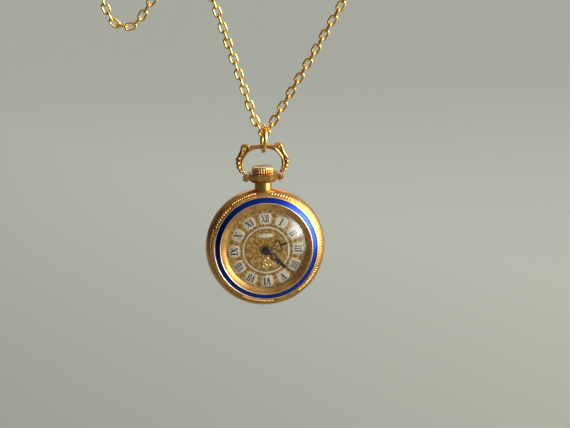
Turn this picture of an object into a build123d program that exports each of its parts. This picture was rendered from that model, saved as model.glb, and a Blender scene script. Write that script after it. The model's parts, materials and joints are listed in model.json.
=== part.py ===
from build123d import *
import os
from math import atan2, cos, degrees, hypot, pi, radians, sin, sqrt

# A pendant watch hanging on its neck chain: enamelled case, crown, bow, bail and a hand-wound movement.
# Millimetres. The origin is the centre of the flat back face, +Z is up and the dial looks towards -Y.
# A depth is the distance in front of that back face, so it runs towards -Y.

# Shared fits
run_gap = 0.03
side_gap = 0.05
overrun = 0.5

# Depth stack, from the back cover to the crystal
cover_t = 0.55
back_room = 0.8
winding_wheel_t = 0.25
bridge_t = 0.5
train_h = 1.15
plate_t = 0.8
works_h = 0.55
dial_t = 0.3
hour_hand_lift = 0.25
hand_t = 0.1
minute_hand_lift = 0.15
crystal_gap = 0.07
crystal_flange_t = 0.28
crystal_t = 0.75
crystal_rise = 1.85
lip_t = 0.2

wheel_back_d = cover_t + back_room
bridge_back_d = wheel_back_d + winding_wheel_t + side_gap
bridge_front_d = bridge_back_d + bridge_t
plate_back_d = bridge_front_d + train_h
plate_front_d = plate_back_d + plate_t
dial_back_d = plate_front_d + works_h
dial_front_d = dial_back_d + dial_t
hour_hand_d = dial_front_d + hour_hand_lift
minute_hand_d = hour_hand_d + hand_t + minute_hand_lift
flange_back_d = minute_hand_d + hand_t + crystal_gap
flange_front_d = flange_back_d + crystal_flange_t
lip_front_d = flange_front_d + lip_t

# Case
case_r = 13.6
case_back_r = 13.05
case_front_r = 13.15
case_back_d = 1.5
case_h = 3.25
girdle_share = 0.6
bore_r = 10.35
snap_r = 11.9
snap_wall = 0.55
snap_h = 0.8
back_seat_r = 8.0
cover_edge = 0.2
case_front_d = case_back_d + case_h
girdle_d = case_back_d + girdle_share * case_h

# Bezel, enamel and crystal
bezel_top_r = 11.86
bezel_edge_drop = 0.45
enamel_r = 11.7
enamel_inner_r = 10.58
enamel_t = 0.3
enamel_sunk = 0.05
enamel_crown_h = 0.04
inner_ring_r = 10.43
ring_crest_h = 0.35
ring_land_w = 0.2
ring_step_r = 9.8
ring_step_h = 0.08
lip_r = 9.2
crystal_wall_r = 9.65
crystal_r = 9.6
crystal_dome_r = 9.12
reflector_r = 9.25
bezel_slope_h = 0.1

# Movement and stem
movement_drop = 0.5
movement_r = 8.8
movement_rim_w = 0.4
stem_inset = 0.3
stem_d = plate_back_d - stem_inset

# Dial
dial_r = 9.75
cartouche_ring_r = 7.15
cartouche_w = 2.75
cartouche_h = 2.45
cartouche_t = 0.1
cartouche_corner = 0.85
cartouche_count = 12
track_r = 5.33
track_w = 0.36
track_t = 0.07
plaque_w = 3.25
plaque_h = 0.85
plaque_up = 3.3
dial_hole_r = 0.65
dial_foot_r = 0.25
dial_foot_ring_r = 7.6
dial_foot_angles = (-28, 168)

# Hands
minute_hand_len = 8.6
hour_hand_len = 5.9
hand_hub_r = 0.8
hub_dome_r = 1.07
hub_dome_h = 0.55
hub_dome_round_share = 0.9
hands_minute_angle = 134
hands_hour_angle = 73
minute_station_shares = ((0.08, 0.02), (0.15, 0.03), (0.205, 0.066), (0.26, 0.088), (0.32, 0.07),
                         (0.37, 0.028), (0.41, 0.06), (0.455, 0.066), (0.5, 0.026), (0.55, 0.05),
                         (0.6, 0.034), (0.655, 0.042), (0.7, 0.013), (1.0, 0.005))
hour_station_shares = ((0.12, 0.05), (0.2, 0.04), (0.27, 0.1), (0.36, 0.14), (0.44, 0.22), (0.49, 0.235),
                       (0.545, 0.12), (0.6, 0.036), (0.8, 0.04), (0.855, 0.064), (0.895, 0.025), (1.0, 0.006))

# Toothing, as shares of the module or of one tooth step
addendum_share = 0.8
dedendum_share = 1.0
root_half_share = 0.29
tip_half_share = 0.12

# Going train
barrel_module = 0.09
barrel_teeth = 72
centre_pinion_teeth = 12
centre_module = 0.085
centre_teeth = 64
third_pinion_teeth = 8
third_module = 0.075
third_teeth = 60
fourth_pinion_teeth = 8
fourth_module = 0.065
fourth_teeth = 60
escape_pinion_teeth = 6
escape_r = 1.6
escape_root_r = 1.3
escape_teeth = 15
wheel_t = 0.15
arbor_r = 0.14
pivot_r = 0.07
pivot_len = 0.2
pivot_bore_r = 0.1
centre_arbor_r = 0.2
wheel_hub_r = 0.42
wheel_arm_w = 0.2
third_angle = 15
fourth_angle = -75
escape_angle = -125

# Barrel
barrel_cup_r = 3.05
barrel_cup_inner_r = 2.85
barrel_lid_t = 0.1
barrel_floor_t = 0.12
barrel_arbor_r = 0.3
barrel_core_r = 0.55
mainspring_t = 0.09
mainspring_turns = 8

# Escapement and balance
balance_spot_u = -2.75
balance_spot_v = -4.85
balance_r = 2.6
balance_rim_w = 0.32
balance_t = 0.2
balance_arm_w = 0.3
roller_r = 0.6
roller_t = 0.1
roller_pin_r = 0.07
roller_pin_ring_r = 0.42
staff_r = 0.12
hairspring_r = 1.35
hairspring_t = 0.04
hairspring_h = 0.12
hairspring_turns = 9
pallet_pivot_dist = 1.95
pallet_span_angle = 62
pallet_arm_w = 0.26
pallet_stone_w = 0.16
pallet_stone_l = 0.34

# Winding and setting
winding_module = 0.155
winding_pinion_teeth = 19
crown_wheel_teeth = 24
ratchet_teeth = 34
crown_wheel_u = -2.0
crown_wheel_v = 5.3
winding_pinion_v = 6.2
winding_pinion_l = 0.9
sliding_pinion_r = 1.25
sliding_pinion_l = 1.05
sliding_pinion_teeth = 14
sliding_groove_r = 0.75
sliding_groove_w = 0.3
stem_r = 0.42
stem_square_w = 0.56
stem_pilot_r = 0.24
stem_groove_r = 0.25
stem_groove_w = 0.36
stem_groove_v = 7.42
stem_pilot_v = 3.95
stem_bearing_v = 8.15
crown_pull = 0.5
lever_pivot_u = 2.2
lever_t = 0.15
lever_w = 0.36
lever_eye_r = 0.32
lever_pin_r = 0.13
yoke_pivot_u = -3.0
yoke_finger_r = 0.11
post_r = 0.16
setting_module = 0.09
cannon_teeth = 10
minute_wheel_teeth = 30
minute_pinion_teeth = 8
hour_wheel_teeth = 32
setting_wheel_teeth = 20
minute_wheel_angle = 100
setting_wheel_angle = 80
cannon_tube_r = 0.36
hour_tube_r = 0.52

# Plate, bridges and screws
boss_half_w = 2.35
pocket_half_w = 1.7
pocket_low_v = 4.5
boss_low_v = 3.9
# The barrel bridge's stepped edge and the train bridge's corner, across and up from the centre
barrel_bridge_steps = ((1.2, -1.2), (1.2, 2.0), (2.7, 2.0))
train_bridge_low_x = 1.45
train_bridge_corner = (1.35, 1.85)
barrel_foot_places = ((-7.55, 2.9), (-3.2, 7.3))
train_foot_places = ((7.2, 0.6), (5.0, -5.7))
balance_foot_place = (-7.35, -2.75)
pallet_foot_place = (0.75, -7.3)
jewel_r = 0.42
jewel_t = 0.22
foot_r = 0.6
screw_head_r = 0.45
screw_head_t = 0.2
screw_r = 0.22
screw_bite = 0.4
slot_w = 0.12
slot_depth = 0.08
case_screw_ring_r = 8.4
case_screw_head_r = 0.7
case_screw_angles = (-10, 190)

# Pendant, crown and bow
neck_r = 1.98
neck_top_z = 15.0
neck_base_z = 12.9
spigot_r = 1.3
stem_hole_r = 0.6
collar_top_w = 6.66
collar_h = 2.0
collar_sides = 8
# The collar swells like a bowl: shares of its height, and of its width there
collar_swell_shares = ((0, 0.78), (0.3, 0.95), (0.875, 1), (1, 1))
crown_gap = 0.1
crown_r = 2.43
crown_h = 1.15
crown_dome_h = 0.35
crown_flutes = 24
crown_flute_r = 0.17
bow_pivot_z = 15.85
bow_eye_x = 3.42
bow_eye_t = 0.8
bow_eye_r = 0.82
bow_wire_r = 0.5
bow_bar_l = 2.4
bow_screw_r = 0.32
bow_screw_head_r = 0.6
bow_screw_head_t = 0.35
trunnion_r = 0.6
bow_top_z = 22.95
bow_half_w = 4.88
volute_r = 0.95
volute_t = 1.3
bow_bead_r = 0.6
# Shares of the bow's half width, and of its height from the pivots to the top bar
bow_side_shares = ((0.87, 0.16), (0.96, 0.27), (1.0, 0.4), (1.0, 0.52), (0.93, 0.69), (0.72, 0.86),
                   (0.45, 0.965))
bow_bead_shares = ((0.99, 0.21), (1.09, 0.36), (1.135, 0.53), (1.065, 0.7))
volute_shares = (0.77, 0.98)

# Bail and chain
bail_ring_r = 2.85
bail_wire_r = 0.48
bail_twist = 1.5
bail_lean = 5
bail_x = 0.5
bail_seat_gap = 0.06
link_l = 2.89
link_w = 1.96
link_wire_r = 0.25
link_gap = 0.03
end_ring_r = 1.6
end_ring_wire_r = 0.32
clasp_ring_r = 2.3
clasp_wire_r = 0.5
clasp_sleeve_r = 0.62
clasp_sleeve_l = 1.4
# Each run of links: how many, and the heading of the first and last, in degrees from straight up
left_runs = ((2, -30, -22), (15, -17, -17), (8, -44, -128), (3, -140, -150), (4, -132, -48), (4, -26, -12))
right_runs = ((21, 33, 31),)


def layer(depth, spot=(0, 0)):
    """A sketch plane parallel to the dial: x to the right, y up, normal towards the reader."""
    return Plane(origin=(spot[0], -depth, spot[1]), x_dir=(1, 0, 0), z_dir=(0, -1, 0))


def across(height, x=0):
    """A sketch plane square to the stem at a height."""
    return Plane(origin=(x, -stem_d, height), x_dir=(1, 0, 0), z_dir=(0, 0, 1))


def section(radius, depth):
    """A point of a turned case part's profile."""
    return (radius, -depth)


def onwards(spot, length, angle):
    """The point at a distance and a direction in degrees from a spot."""
    return (spot[0] + length * cos(radians(angle)), spot[1] + length * sin(radians(angle)))


def direction(spot, other):
    """The direction in degrees from one spot to another."""
    return degrees(atan2(other[1] - spot[1], other[0] - spot[0]))


def distance(spot, other):
    """How far one spot is from another."""
    return hypot(other[0] - spot[0], other[1] - spot[1])


def on_movement(u, v):
    """A spot given from the middle of the movement, which sits a little below the case's middle."""
    return (u, v - movement_drop)


def third_corner(a, from_a, b, from_b):
    """The corner of a triangle that lies to the left of the line from a to b."""
    base = distance(a, b)
    along = (from_a ** 2 - from_b ** 2 + base ** 2) / (2 * base)
    aside = sqrt(max(from_a ** 2 - along ** 2, 0))
    foot = onwards(a, along, direction(a, b))
    return onwards(foot, aside, direction(a, b) + 90)


def rod(spot, back_d, front_d, radius, mode=Mode.ADD):
    """A cylinder square to the dial between two depths."""
    with Locations(layer(back_d, spot)):
        Cylinder(radius, front_d - back_d, align=(Align.CENTER, Align.CENTER, Align.MIN), mode=mode)


def turned(height, length, radius, mode=Mode.ADD):
    """A cylinder along the stem."""
    with Locations(across(height)):
        Cylinder(radius, length, align=(Align.CENTER, Align.CENTER, Align.MIN), mode=mode)


def toothed(teeth, module, tooth_at=0):
    """A toothed disc with straight flanks, with one tooth centred on the given direction."""
    pitch_r = teeth * module / 2
    root_r = pitch_r - dedendum_share * module
    tip_r = pitch_r + addendum_share * module
    corners = ((root_r, -root_half_share), (tip_r, -tip_half_share),
               (tip_r, tip_half_share), (root_r, root_half_share))
    step = 360 / teeth
    points = [onwards((0, 0), radius, tooth_at + (n + share) * step)
              for n in range(teeth) for radius, share in corners]
    with BuildSketch() as outline:
        with BuildLine():
            Polyline(*points, close=True)
        make_face()
    return outline.sketch


def train_wheel(teeth, module, tooth_at=0, windows=5):
    """A train wheel's toothed rim with round windows that leave its arms."""
    inner_r = teeth * module / 2 - 3 * module
    window_ring_r = (inner_r + wheel_hub_r) / 2
    window_r = min(window_ring_r * sin(pi / windows), window_ring_r - wheel_hub_r) - wheel_arm_w / 2
    with BuildSketch() as outline:
        add(toothed(teeth, module, tooth_at))
        with PolarLocations(window_ring_r, windows):
            Circle(window_r, mode=Mode.SUBTRACT)
    return outline.sketch


def gap_at(angle, teeth):
    """The tooth direction that puts a gap between teeth at an angle."""
    return angle + 180 / teeth


def hand_outline(length, stations):
    """A hand pointing along +y: half widths at stations along it, as shares of its length."""
    right = [(half * length, along * length) for along, half in stations]
    left = [(-x, y) for x, y in reversed(right)]
    with BuildSketch() as outline:
        with BuildLine():
            Polyline(*right, *left, close=True)
        make_face()
    return outline.sketch


def spiral_strip(inner_r, outer_r, turns, thickness):
    """A flat strip wound in an even spiral."""
    per_turn = 24
    radii = [(inner_r + (outer_r - inner_r) * n / (turns * per_turn), 360 * n / per_turn)
             for n in range(turns * per_turn + 1)]
    outside = [onwards((0, 0), radius, angle) for radius, angle in radii]
    inside = [onwards((0, 0), radius - thickness, angle) for radius, angle in reversed(radii)]
    with BuildSketch() as strip:
        with BuildLine():
            Polyline(*outside, *inside, close=True)
        make_face()
    return strip.sketch


def capsule(a, b, radius_a, radius_b):
    """The outline round two circles, for arms, levers and cocks."""
    length, turn = distance(a, b), direction(a, b)
    lean = degrees(atan2(radius_a - radius_b, length))
    ends = [onwards(a, radius_a, turn + 90 - lean), onwards(b, radius_b, turn + 90 - lean),
            onwards(b, radius_b, turn - 90 + lean), onwards(a, radius_a, turn - 90 + lean)]
    with BuildSketch() as outline:
        with BuildLine():
            Polyline(*ends, close=True)
        make_face()
        with Locations(a):
            Circle(radius_a)
        with Locations(b):
            Circle(radius_b)
    return outline.sketch


# Places of the train, worked out from the tooth counts
centre = on_movement(0, 0)
crown_wheel_spot = on_movement(crown_wheel_u, crown_wheel_v)
barrel_distance = (barrel_teeth + centre_pinion_teeth) * barrel_module / 2
winding_distance = (crown_wheel_teeth + ratchet_teeth) * winding_module / 2
barrel_spot = third_corner(centre, barrel_distance, crown_wheel_spot, winding_distance)
third_spot = onwards(centre, (centre_teeth + third_pinion_teeth) * centre_module / 2, third_angle)
fourth_spot = onwards(third_spot, (third_teeth + fourth_pinion_teeth) * third_module / 2, fourth_angle)
escape_spot = onwards(fourth_spot, (fourth_teeth + escape_pinion_teeth) * fourth_module / 2, escape_angle)
balance_spot = on_movement(balance_spot_u, balance_spot_v)
pallet_angle = direction(escape_spot, balance_spot)
pallet_spot = onwards(escape_spot, pallet_pivot_dist, pallet_angle)
minute_wheel_spot = onwards(centre, (cannon_teeth + minute_wheel_teeth) * setting_module / 2,
                            minute_wheel_angle)
setting_wheel_spot = onwards(minute_wheel_spot,
                             (minute_wheel_teeth + setting_wheel_teeth) * setting_module / 2,
                             setting_wheel_angle)

# Three levels in the train space
near_bridge_d = bridge_front_d + 2 * side_gap
middle_d = bridge_front_d + 3 * wheel_t
near_plate_d = plate_back_d - 2 * wheel_t - side_gap
motion_d = plate_front_d + side_gap
motion_front_d = motion_d + wheel_t
winding_pinion_z = winding_pinion_v - movement_drop
sliding_pinion_z = winding_pinion_z - run_gap - sliding_pinion_l
stem_groove_z = stem_groove_v - movement_drop
barrel_tip_r = barrel_teeth * barrel_module / 2 + addendum_share * barrel_module

# Case
with BuildPart() as case_middle:
    with BuildSketch(Plane.XY):
        with BuildLine():
            Polyline(section(case_back_r, case_back_d), section(snap_r, case_back_d),
                     section(snap_r, case_back_d + snap_h + side_gap),
                     section(bore_r, case_back_d + snap_h + side_gap),
                     section(bore_r, case_front_d - snap_h - side_gap),
                     section(snap_r, case_front_d - snap_h - side_gap),
                     section(snap_r, case_front_d), section(case_front_r, case_front_d))
            ThreePointArc(section(case_front_r, case_front_d), section(case_r, girdle_d),
                          section(case_back_r, case_back_d))
        make_face()
    revolve(axis=Axis.Y)
    turned(bore_r - overrun, case_r - bore_r + 2 * overrun, spigot_r, mode=Mode.SUBTRACT)

with BuildPart() as back_cover:
    with BuildSketch(Plane.XY):
        with BuildLine():
            Line(section(0, 0), section(back_seat_r, 0))
            TangentArc(section(back_seat_r, 0), section(case_back_r - cover_edge, case_back_d),
                       tangent=(1, 0))
            Polyline(section(case_back_r - cover_edge, case_back_d), section(snap_r, case_back_d),
                     section(snap_r, case_back_d + snap_h), section(snap_r - snap_wall, case_back_d + snap_h),
                     section(snap_r - snap_wall, case_back_d))
            TangentArc(section(back_seat_r, cover_t), section(snap_r - snap_wall, case_back_d),
                       tangent=(1, 0))
            Line(section(back_seat_r, cover_t), section(0, cover_t))
            Line(section(0, cover_t), section(0, 0))
        make_face()
    revolve(axis=Axis.Y)

bezel_floor_d = dial_front_d + 2 * side_gap
bezel_edge_d = lip_front_d - bezel_edge_drop
bezel_bulge = section((case_front_r + bezel_top_r) / 2 + bezel_slope_h,
                      (case_front_d + bezel_edge_d) / 2 + bezel_slope_h)
crest_d = lip_front_d + ring_crest_h
ring_step_d = lip_front_d + ring_crest_h * (ring_step_r - lip_r) / (inner_ring_r - lip_r)
enamel_outer_d = bezel_edge_d - enamel_sunk
enamel_inner_d = crest_d - enamel_sunk
with BuildPart() as bezel:
    with BuildSketch(Plane.XY):
        with BuildLine():
            ThreePointArc(section(case_front_r, case_front_d), bezel_bulge,
                          section(bezel_top_r, bezel_edge_d))
            Polyline(section(bezel_top_r, bezel_edge_d), section(enamel_r, bezel_edge_d),
                     section(enamel_r, enamel_outer_d - enamel_t),
                     section(enamel_inner_r, enamel_inner_d - enamel_t),
                     section(enamel_inner_r, crest_d), section(inner_ring_r - ring_land_w, crest_d),
                     section(ring_step_r, ring_step_d + ring_step_h), section(ring_step_r, ring_step_d),
                     section(lip_r, lip_front_d), section(lip_r, flange_front_d),
                     section(crystal_wall_r, flange_front_d), section(crystal_wall_r, bezel_floor_d),
                     section(snap_r - snap_wall, bezel_floor_d),
                     section(snap_r - snap_wall, case_front_d - snap_h),
                     section(snap_r, case_front_d - snap_h), section(snap_r, case_front_d),
                     section(case_front_r, case_front_d))
        make_face()
    revolve(axis=Axis.Y)

with BuildPart() as enamel_ring:
    with BuildSketch(Plane.XY):
        with BuildLine():
            ThreePointArc(section(enamel_r, enamel_outer_d),
                          section((enamel_r + enamel_inner_r) / 2,
                                  (enamel_outer_d + enamel_inner_d) / 2 + enamel_crown_h),
                          section(enamel_inner_r, enamel_inner_d))
            Polyline(section(enamel_inner_r, enamel_inner_d),
                     section(enamel_inner_r, enamel_inner_d - enamel_t),
                     section(enamel_r, enamel_outer_d - enamel_t), section(enamel_r, enamel_outer_d))
        make_face()
    revolve(axis=Axis.Y)

crystal_top_d = lip_front_d + crystal_rise
with BuildPart() as crystal:
    with BuildSketch(Plane.XY):
        with BuildLine():
            Polyline(section(0, crystal_top_d - crystal_t), section(0, crystal_top_d))
            TangentArc(section(0, crystal_top_d), section(crystal_dome_r, lip_front_d), tangent=(1, 0))
            Polyline(section(crystal_dome_r, lip_front_d), section(crystal_dome_r, flange_front_d),
                     section(crystal_r, flange_front_d), section(crystal_r, flange_back_d),
                     section(crystal_dome_r - crystal_flange_t, flange_back_d))
            TangentArc(section(0, crystal_top_d - crystal_t),
                       section(crystal_dome_r - crystal_flange_t, flange_back_d), tangent=(1, 0))
        make_face()
    revolve(axis=Axis.Y)

with BuildPart() as reflector_ring:
    with BuildSketch(layer(dial_front_d)):
        Circle(crystal_r)
        Circle(reflector_r, mode=Mode.SUBTRACT)
    extrude(amount=flange_back_d - dial_front_d)

# Pendant
stem_top_z = neck_top_z + collar_h + crown_gap
with BuildPart() as pendant_neck:
    turned(neck_base_z, neck_top_z - neck_base_z, neck_r)
    with BuildSketch(Plane.XY):
        with BuildLine():
            Polyline(section(0, case_back_d), section(case_back_r, case_back_d))
            ThreePointArc(section(case_back_r, case_back_d), section(case_r, girdle_d),
                          section(case_front_r, case_front_d))
            ThreePointArc(section(case_front_r, case_front_d), bezel_bulge,
                          section(bezel_top_r, bezel_edge_d))
            Polyline(section(bezel_top_r, bezel_edge_d), section(0, bezel_edge_d), section(0, case_back_d))
        make_face()
    revolve(axis=Axis.Y, mode=Mode.SUBTRACT)
    turned(snap_r + side_gap, neck_top_z - snap_r - side_gap, spigot_r)
    turned(bore_r, neck_top_z - bore_r + overrun, stem_hole_r, mode=Mode.SUBTRACT)

collar_low_w = collar_top_w * collar_swell_shares[0][1]
with BuildPart() as pendant_collar:
    for height_share, width_share in collar_swell_shares:
        with BuildSketch(across(neck_top_z + height_share * collar_h)):
            RegularPolygon(width_share * collar_top_w / 2, collar_sides, major_radius=False,
                           rotation=180 / collar_sides)
    loft(ruled=True)
    for side in (-1, 1):
        with BuildSketch(Plane(origin=(0, -stem_d, bow_pivot_z), x_dir=(0, 1, 0), z_dir=(side, 0, 0))):
            Circle(trunnion_r)
        extrude(amount=bow_eye_x - side_gap)
        with BuildSketch(Plane(origin=(side * collar_low_w / 2, -stem_d, bow_pivot_z), x_dir=(0, 1, 0),
                               z_dir=(side, 0, 0))):
            Circle(bow_screw_r)
        extrude(amount=bow_eye_x, mode=Mode.SUBTRACT)
    turned(neck_top_z - overrun, collar_h + 2 * overrun, stem_hole_r, mode=Mode.SUBTRACT)

with BuildPart() as bow_screws:
    for side in (-1, 1):
        with BuildSketch(Plane(origin=(side * collar_low_w / 2, -stem_d, bow_pivot_z), x_dir=(0, 1, 0),
                               z_dir=(side, 0, 0))):
            Circle(bow_screw_r)
        extrude(amount=bow_eye_x + bow_eye_t + side_gap - collar_low_w / 2)
        head_x = bow_eye_x + bow_eye_t + side_gap
        with BuildSketch(Plane(origin=(side * head_x, -stem_d, bow_pivot_z), x_dir=(0, 1, 0),
                               z_dir=(side, 0, 0))):
            Circle(bow_screw_head_r)
        extrude(amount=bow_screw_head_t)
        with BuildSketch(Plane(origin=(side * (head_x + bow_screw_head_t - slot_depth), -stem_d, bow_pivot_z),
                               x_dir=(0, 1, 0), z_dir=(side, 0, 0))):
            Rectangle(2 * bow_screw_head_r, slot_w)
        extrude(amount=slot_depth + overrun, mode=Mode.SUBTRACT)

# Crown, stem and keyless work
with BuildPart() as crown:
    with BuildSketch(across(stem_top_z)):
        Circle(crown_r)
        with PolarLocations(crown_r + crown_flute_r / 2, crown_flutes):
            Circle(crown_flute_r, mode=Mode.SUBTRACT)
    extrude(amount=crown_h)
    with BuildSketch(Plane(origin=(0, -stem_d, stem_top_z + crown_h), x_dir=(1, 0, 0), z_dir=(0, -1, 0))):
        with BuildLine():
            Line((0, 0), (crown_r - crown_flute_r, 0))
            TangentArc((0, crown_dome_h), (crown_r - crown_flute_r, 0), tangent=(1, 0))
            Line((0, crown_dome_h), (0, 0))
        make_face()
    revolve(axis=Axis((0, -stem_d, 0), (0, 0, 1)))
    turned(stem_top_z, crown_h - crown_dome_h, stem_r, mode=Mode.SUBTRACT)

with BuildPart() as winding_stem:
    stem_low_z = stem_pilot_v - movement_drop
    bearing_z = winding_pinion_z + winding_pinion_l + run_gap
    turned(stem_low_z, bearing_z - stem_low_z, stem_pilot_r)
    with BuildSketch(across(sliding_pinion_z - crown_pull - side_gap)):
        Rectangle(stem_square_w, stem_square_w)
    extrude(amount=bearing_z - sliding_pinion_z + crown_pull + side_gap)
    turned(bearing_z, stem_top_z + crown_h - crown_dome_h - bearing_z, stem_r)
    with BuildSketch(across(stem_groove_z - stem_groove_w / 2)):
        Circle(2 * stem_r)
        Circle(stem_groove_r, mode=Mode.SUBTRACT)
    extrude(amount=stem_groove_w, mode=Mode.SUBTRACT)

with BuildPart() as winding_pinion:
    with BuildSketch(across(winding_pinion_z)):
        add(toothed(winding_pinion_teeth, winding_module, gap_at(-90, winding_pinion_teeth)))
        Rectangle(stem_square_w + 2 * run_gap, stem_square_w + 2 * run_gap, mode=Mode.SUBTRACT)
    extrude(amount=winding_pinion_l)

sliding_module = 2 * sliding_pinion_r / (sliding_pinion_teeth + 2 * addendum_share)
with BuildPart() as sliding_pinion:
    with BuildSketch(across(sliding_pinion_z)):
        add(toothed(sliding_pinion_teeth, sliding_module, 90))
    extrude(amount=sliding_pinion_l)
    with BuildSketch(across(sliding_pinion_z + sliding_pinion_l / 2 - sliding_groove_w / 2)):
        Circle(2 * sliding_pinion_r)
        Circle(sliding_groove_r, mode=Mode.SUBTRACT)
    extrude(amount=sliding_groove_w, mode=Mode.SUBTRACT)
    with BuildSketch(across(sliding_pinion_z - overrun)):
        Rectangle(stem_square_w + 2 * run_gap, stem_square_w + 2 * run_gap)
    extrude(amount=sliding_pinion_l + 2 * overrun, mode=Mode.SUBTRACT)

lever_pivot = (lever_pivot_u, stem_groove_z)
with BuildPart() as setting_lever:
    with BuildSketch(layer(motion_d)):
        add(capsule(lever_pivot, (0, stem_groove_z), lever_eye_r, lever_w / 2))
        with Locations(lever_pivot):
            Circle(post_r + run_gap, mode=Mode.SUBTRACT)
    extrude(amount=lever_t)
    rod((0, stem_groove_z), stem_d + stem_groove_r + run_gap, motion_d, lever_pin_r)

yoke_tip = (0, sliding_pinion_z + sliding_pinion_l / 2)
yoke_pivot = (yoke_pivot_u, yoke_tip[1])
yoke_d = max(motion_d + wheel_t, stem_d + sliding_pinion_r) + side_gap
with BuildPart() as yoke:
    with BuildSketch(layer(yoke_d)):
        add(capsule(yoke_pivot, yoke_tip, lever_eye_r, lever_w / 2))
        with Locations(yoke_pivot):
            Circle(post_r + run_gap, mode=Mode.SUBTRACT)
    extrude(amount=lever_t - side_gap)
    rod(yoke_tip, stem_d + sliding_groove_r + run_gap, yoke_d, yoke_finger_r)

spring_anchor = (yoke_pivot[0] - lever_eye_r, yoke_pivot[1] + 3 * lever_w)
with BuildPart() as yoke_spring:
    with BuildSketch(layer(yoke_d)):
        add(capsule(spring_anchor, (yoke_tip[0] - 3 * lever_w, yoke_tip[1] + 2 * lever_w),
                    lever_w / 2, lever_w / 5))
    extrude(amount=lever_t - side_gap)
    rod(spring_anchor, plate_front_d, yoke_d, post_r)

with BuildPart() as setting_wheel:
    with BuildSketch(layer(motion_d, setting_wheel_spot)):
        add(toothed(setting_wheel_teeth, setting_module,
                    gap_at(setting_wheel_angle + 180, setting_wheel_teeth)))
        Circle(post_r + run_gap, mode=Mode.SUBTRACT)
    extrude(amount=wheel_t)

crown_to_ratchet = direction(crown_wheel_spot, barrel_spot)
crown_step = 360 / crown_wheel_teeth
ratchet_phase = ((crown_to_ratchet - 90) / crown_step) % 1
crown_wheel_front_d = wheel_back_d + winding_wheel_t
with BuildPart() as crown_wheel:
    with BuildSketch(layer(wheel_back_d, crown_wheel_spot)):
        add(toothed(crown_wheel_teeth, winding_module, 90))
        Circle(screw_head_r + run_gap, mode=Mode.SUBTRACT)
    extrude(amount=winding_wheel_t)

with BuildPart() as ratchet_wheel:
    with BuildSketch(layer(wheel_back_d, barrel_spot)):
        add(toothed(ratchet_teeth, winding_module,
                    gap_at(crown_to_ratchet + 180 + ratchet_phase * 360 / ratchet_teeth, ratchet_teeth)))
        Rectangle(2 * barrel_arbor_r, 2 * barrel_arbor_r, mode=Mode.SUBTRACT)
    extrude(amount=winding_wheel_t)

with BuildPart() as winding_screws:
    rod(crown_wheel_spot, wheel_back_d, bridge_back_d, screw_head_r)
    rod(crown_wheel_spot, wheel_back_d - screw_head_t, wheel_back_d - run_gap, 2 * screw_head_r)
    rod(crown_wheel_spot, wheel_back_d - run_gap, bridge_front_d, screw_r)

ratchet_r = ratchet_teeth * winding_module / 2
click_angle = 200
click_spot = onwards(barrel_spot, ratchet_r + 3 * lever_w, click_angle)
click_beak = onwards(barrel_spot, ratchet_r + addendum_share * winding_module, click_angle + 20)
with BuildPart() as click:
    with BuildSketch(layer(wheel_back_d)):
        add(capsule(click_spot, click_beak, lever_eye_r, slot_w / 2))
        with Locations(click_spot):
            Circle(post_r + run_gap, mode=Mode.SUBTRACT)
    extrude(amount=winding_wheel_t)

click_spring_foot = onwards(barrel_spot, ratchet_r + 3 * lever_w, click_angle + 36)
with BuildPart() as click_spring:
    with BuildSketch(layer(wheel_back_d)):
        add(capsule(click_spring_foot, onwards(barrel_spot, ratchet_r + 1.7 * lever_w, click_angle + 24),
                    lever_w / 2, slot_w / 2))
    extrude(amount=winding_wheel_t)
    rod(click_spring_foot, wheel_back_d, bridge_back_d + bridge_t / 2, post_r)

# Plate and bridges
barrel_feet = [on_movement(*place) for place in barrel_foot_places]
train_feet = [on_movement(*place) for place in train_foot_places]
cock_foot = on_movement(*balance_foot_place)
pallet_foot = on_movement(*pallet_foot_place)
jewelled = (third_spot, fourth_spot, escape_spot, pallet_spot, balance_spot)


def screw_holes():
    """The screw holes of the bridges' feet, through bridge and foot and into the plate."""
    for spot in (*barrel_feet, *train_feet, cock_foot, pallet_foot):
        rod(spot, bridge_back_d - overrun, bridge_back_d + screw_head_t, screw_head_r, mode=Mode.SUBTRACT)
        rod(spot, bridge_back_d, plate_back_d + screw_bite, screw_r, mode=Mode.SUBTRACT)


def jewel_seats(back_d):
    """The holes that the jewels are pressed into."""
    for spot in jewelled:
        rod(spot, back_d - overrun, back_d + plate_t + overrun, jewel_r, mode=Mode.SUBTRACT)


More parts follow.
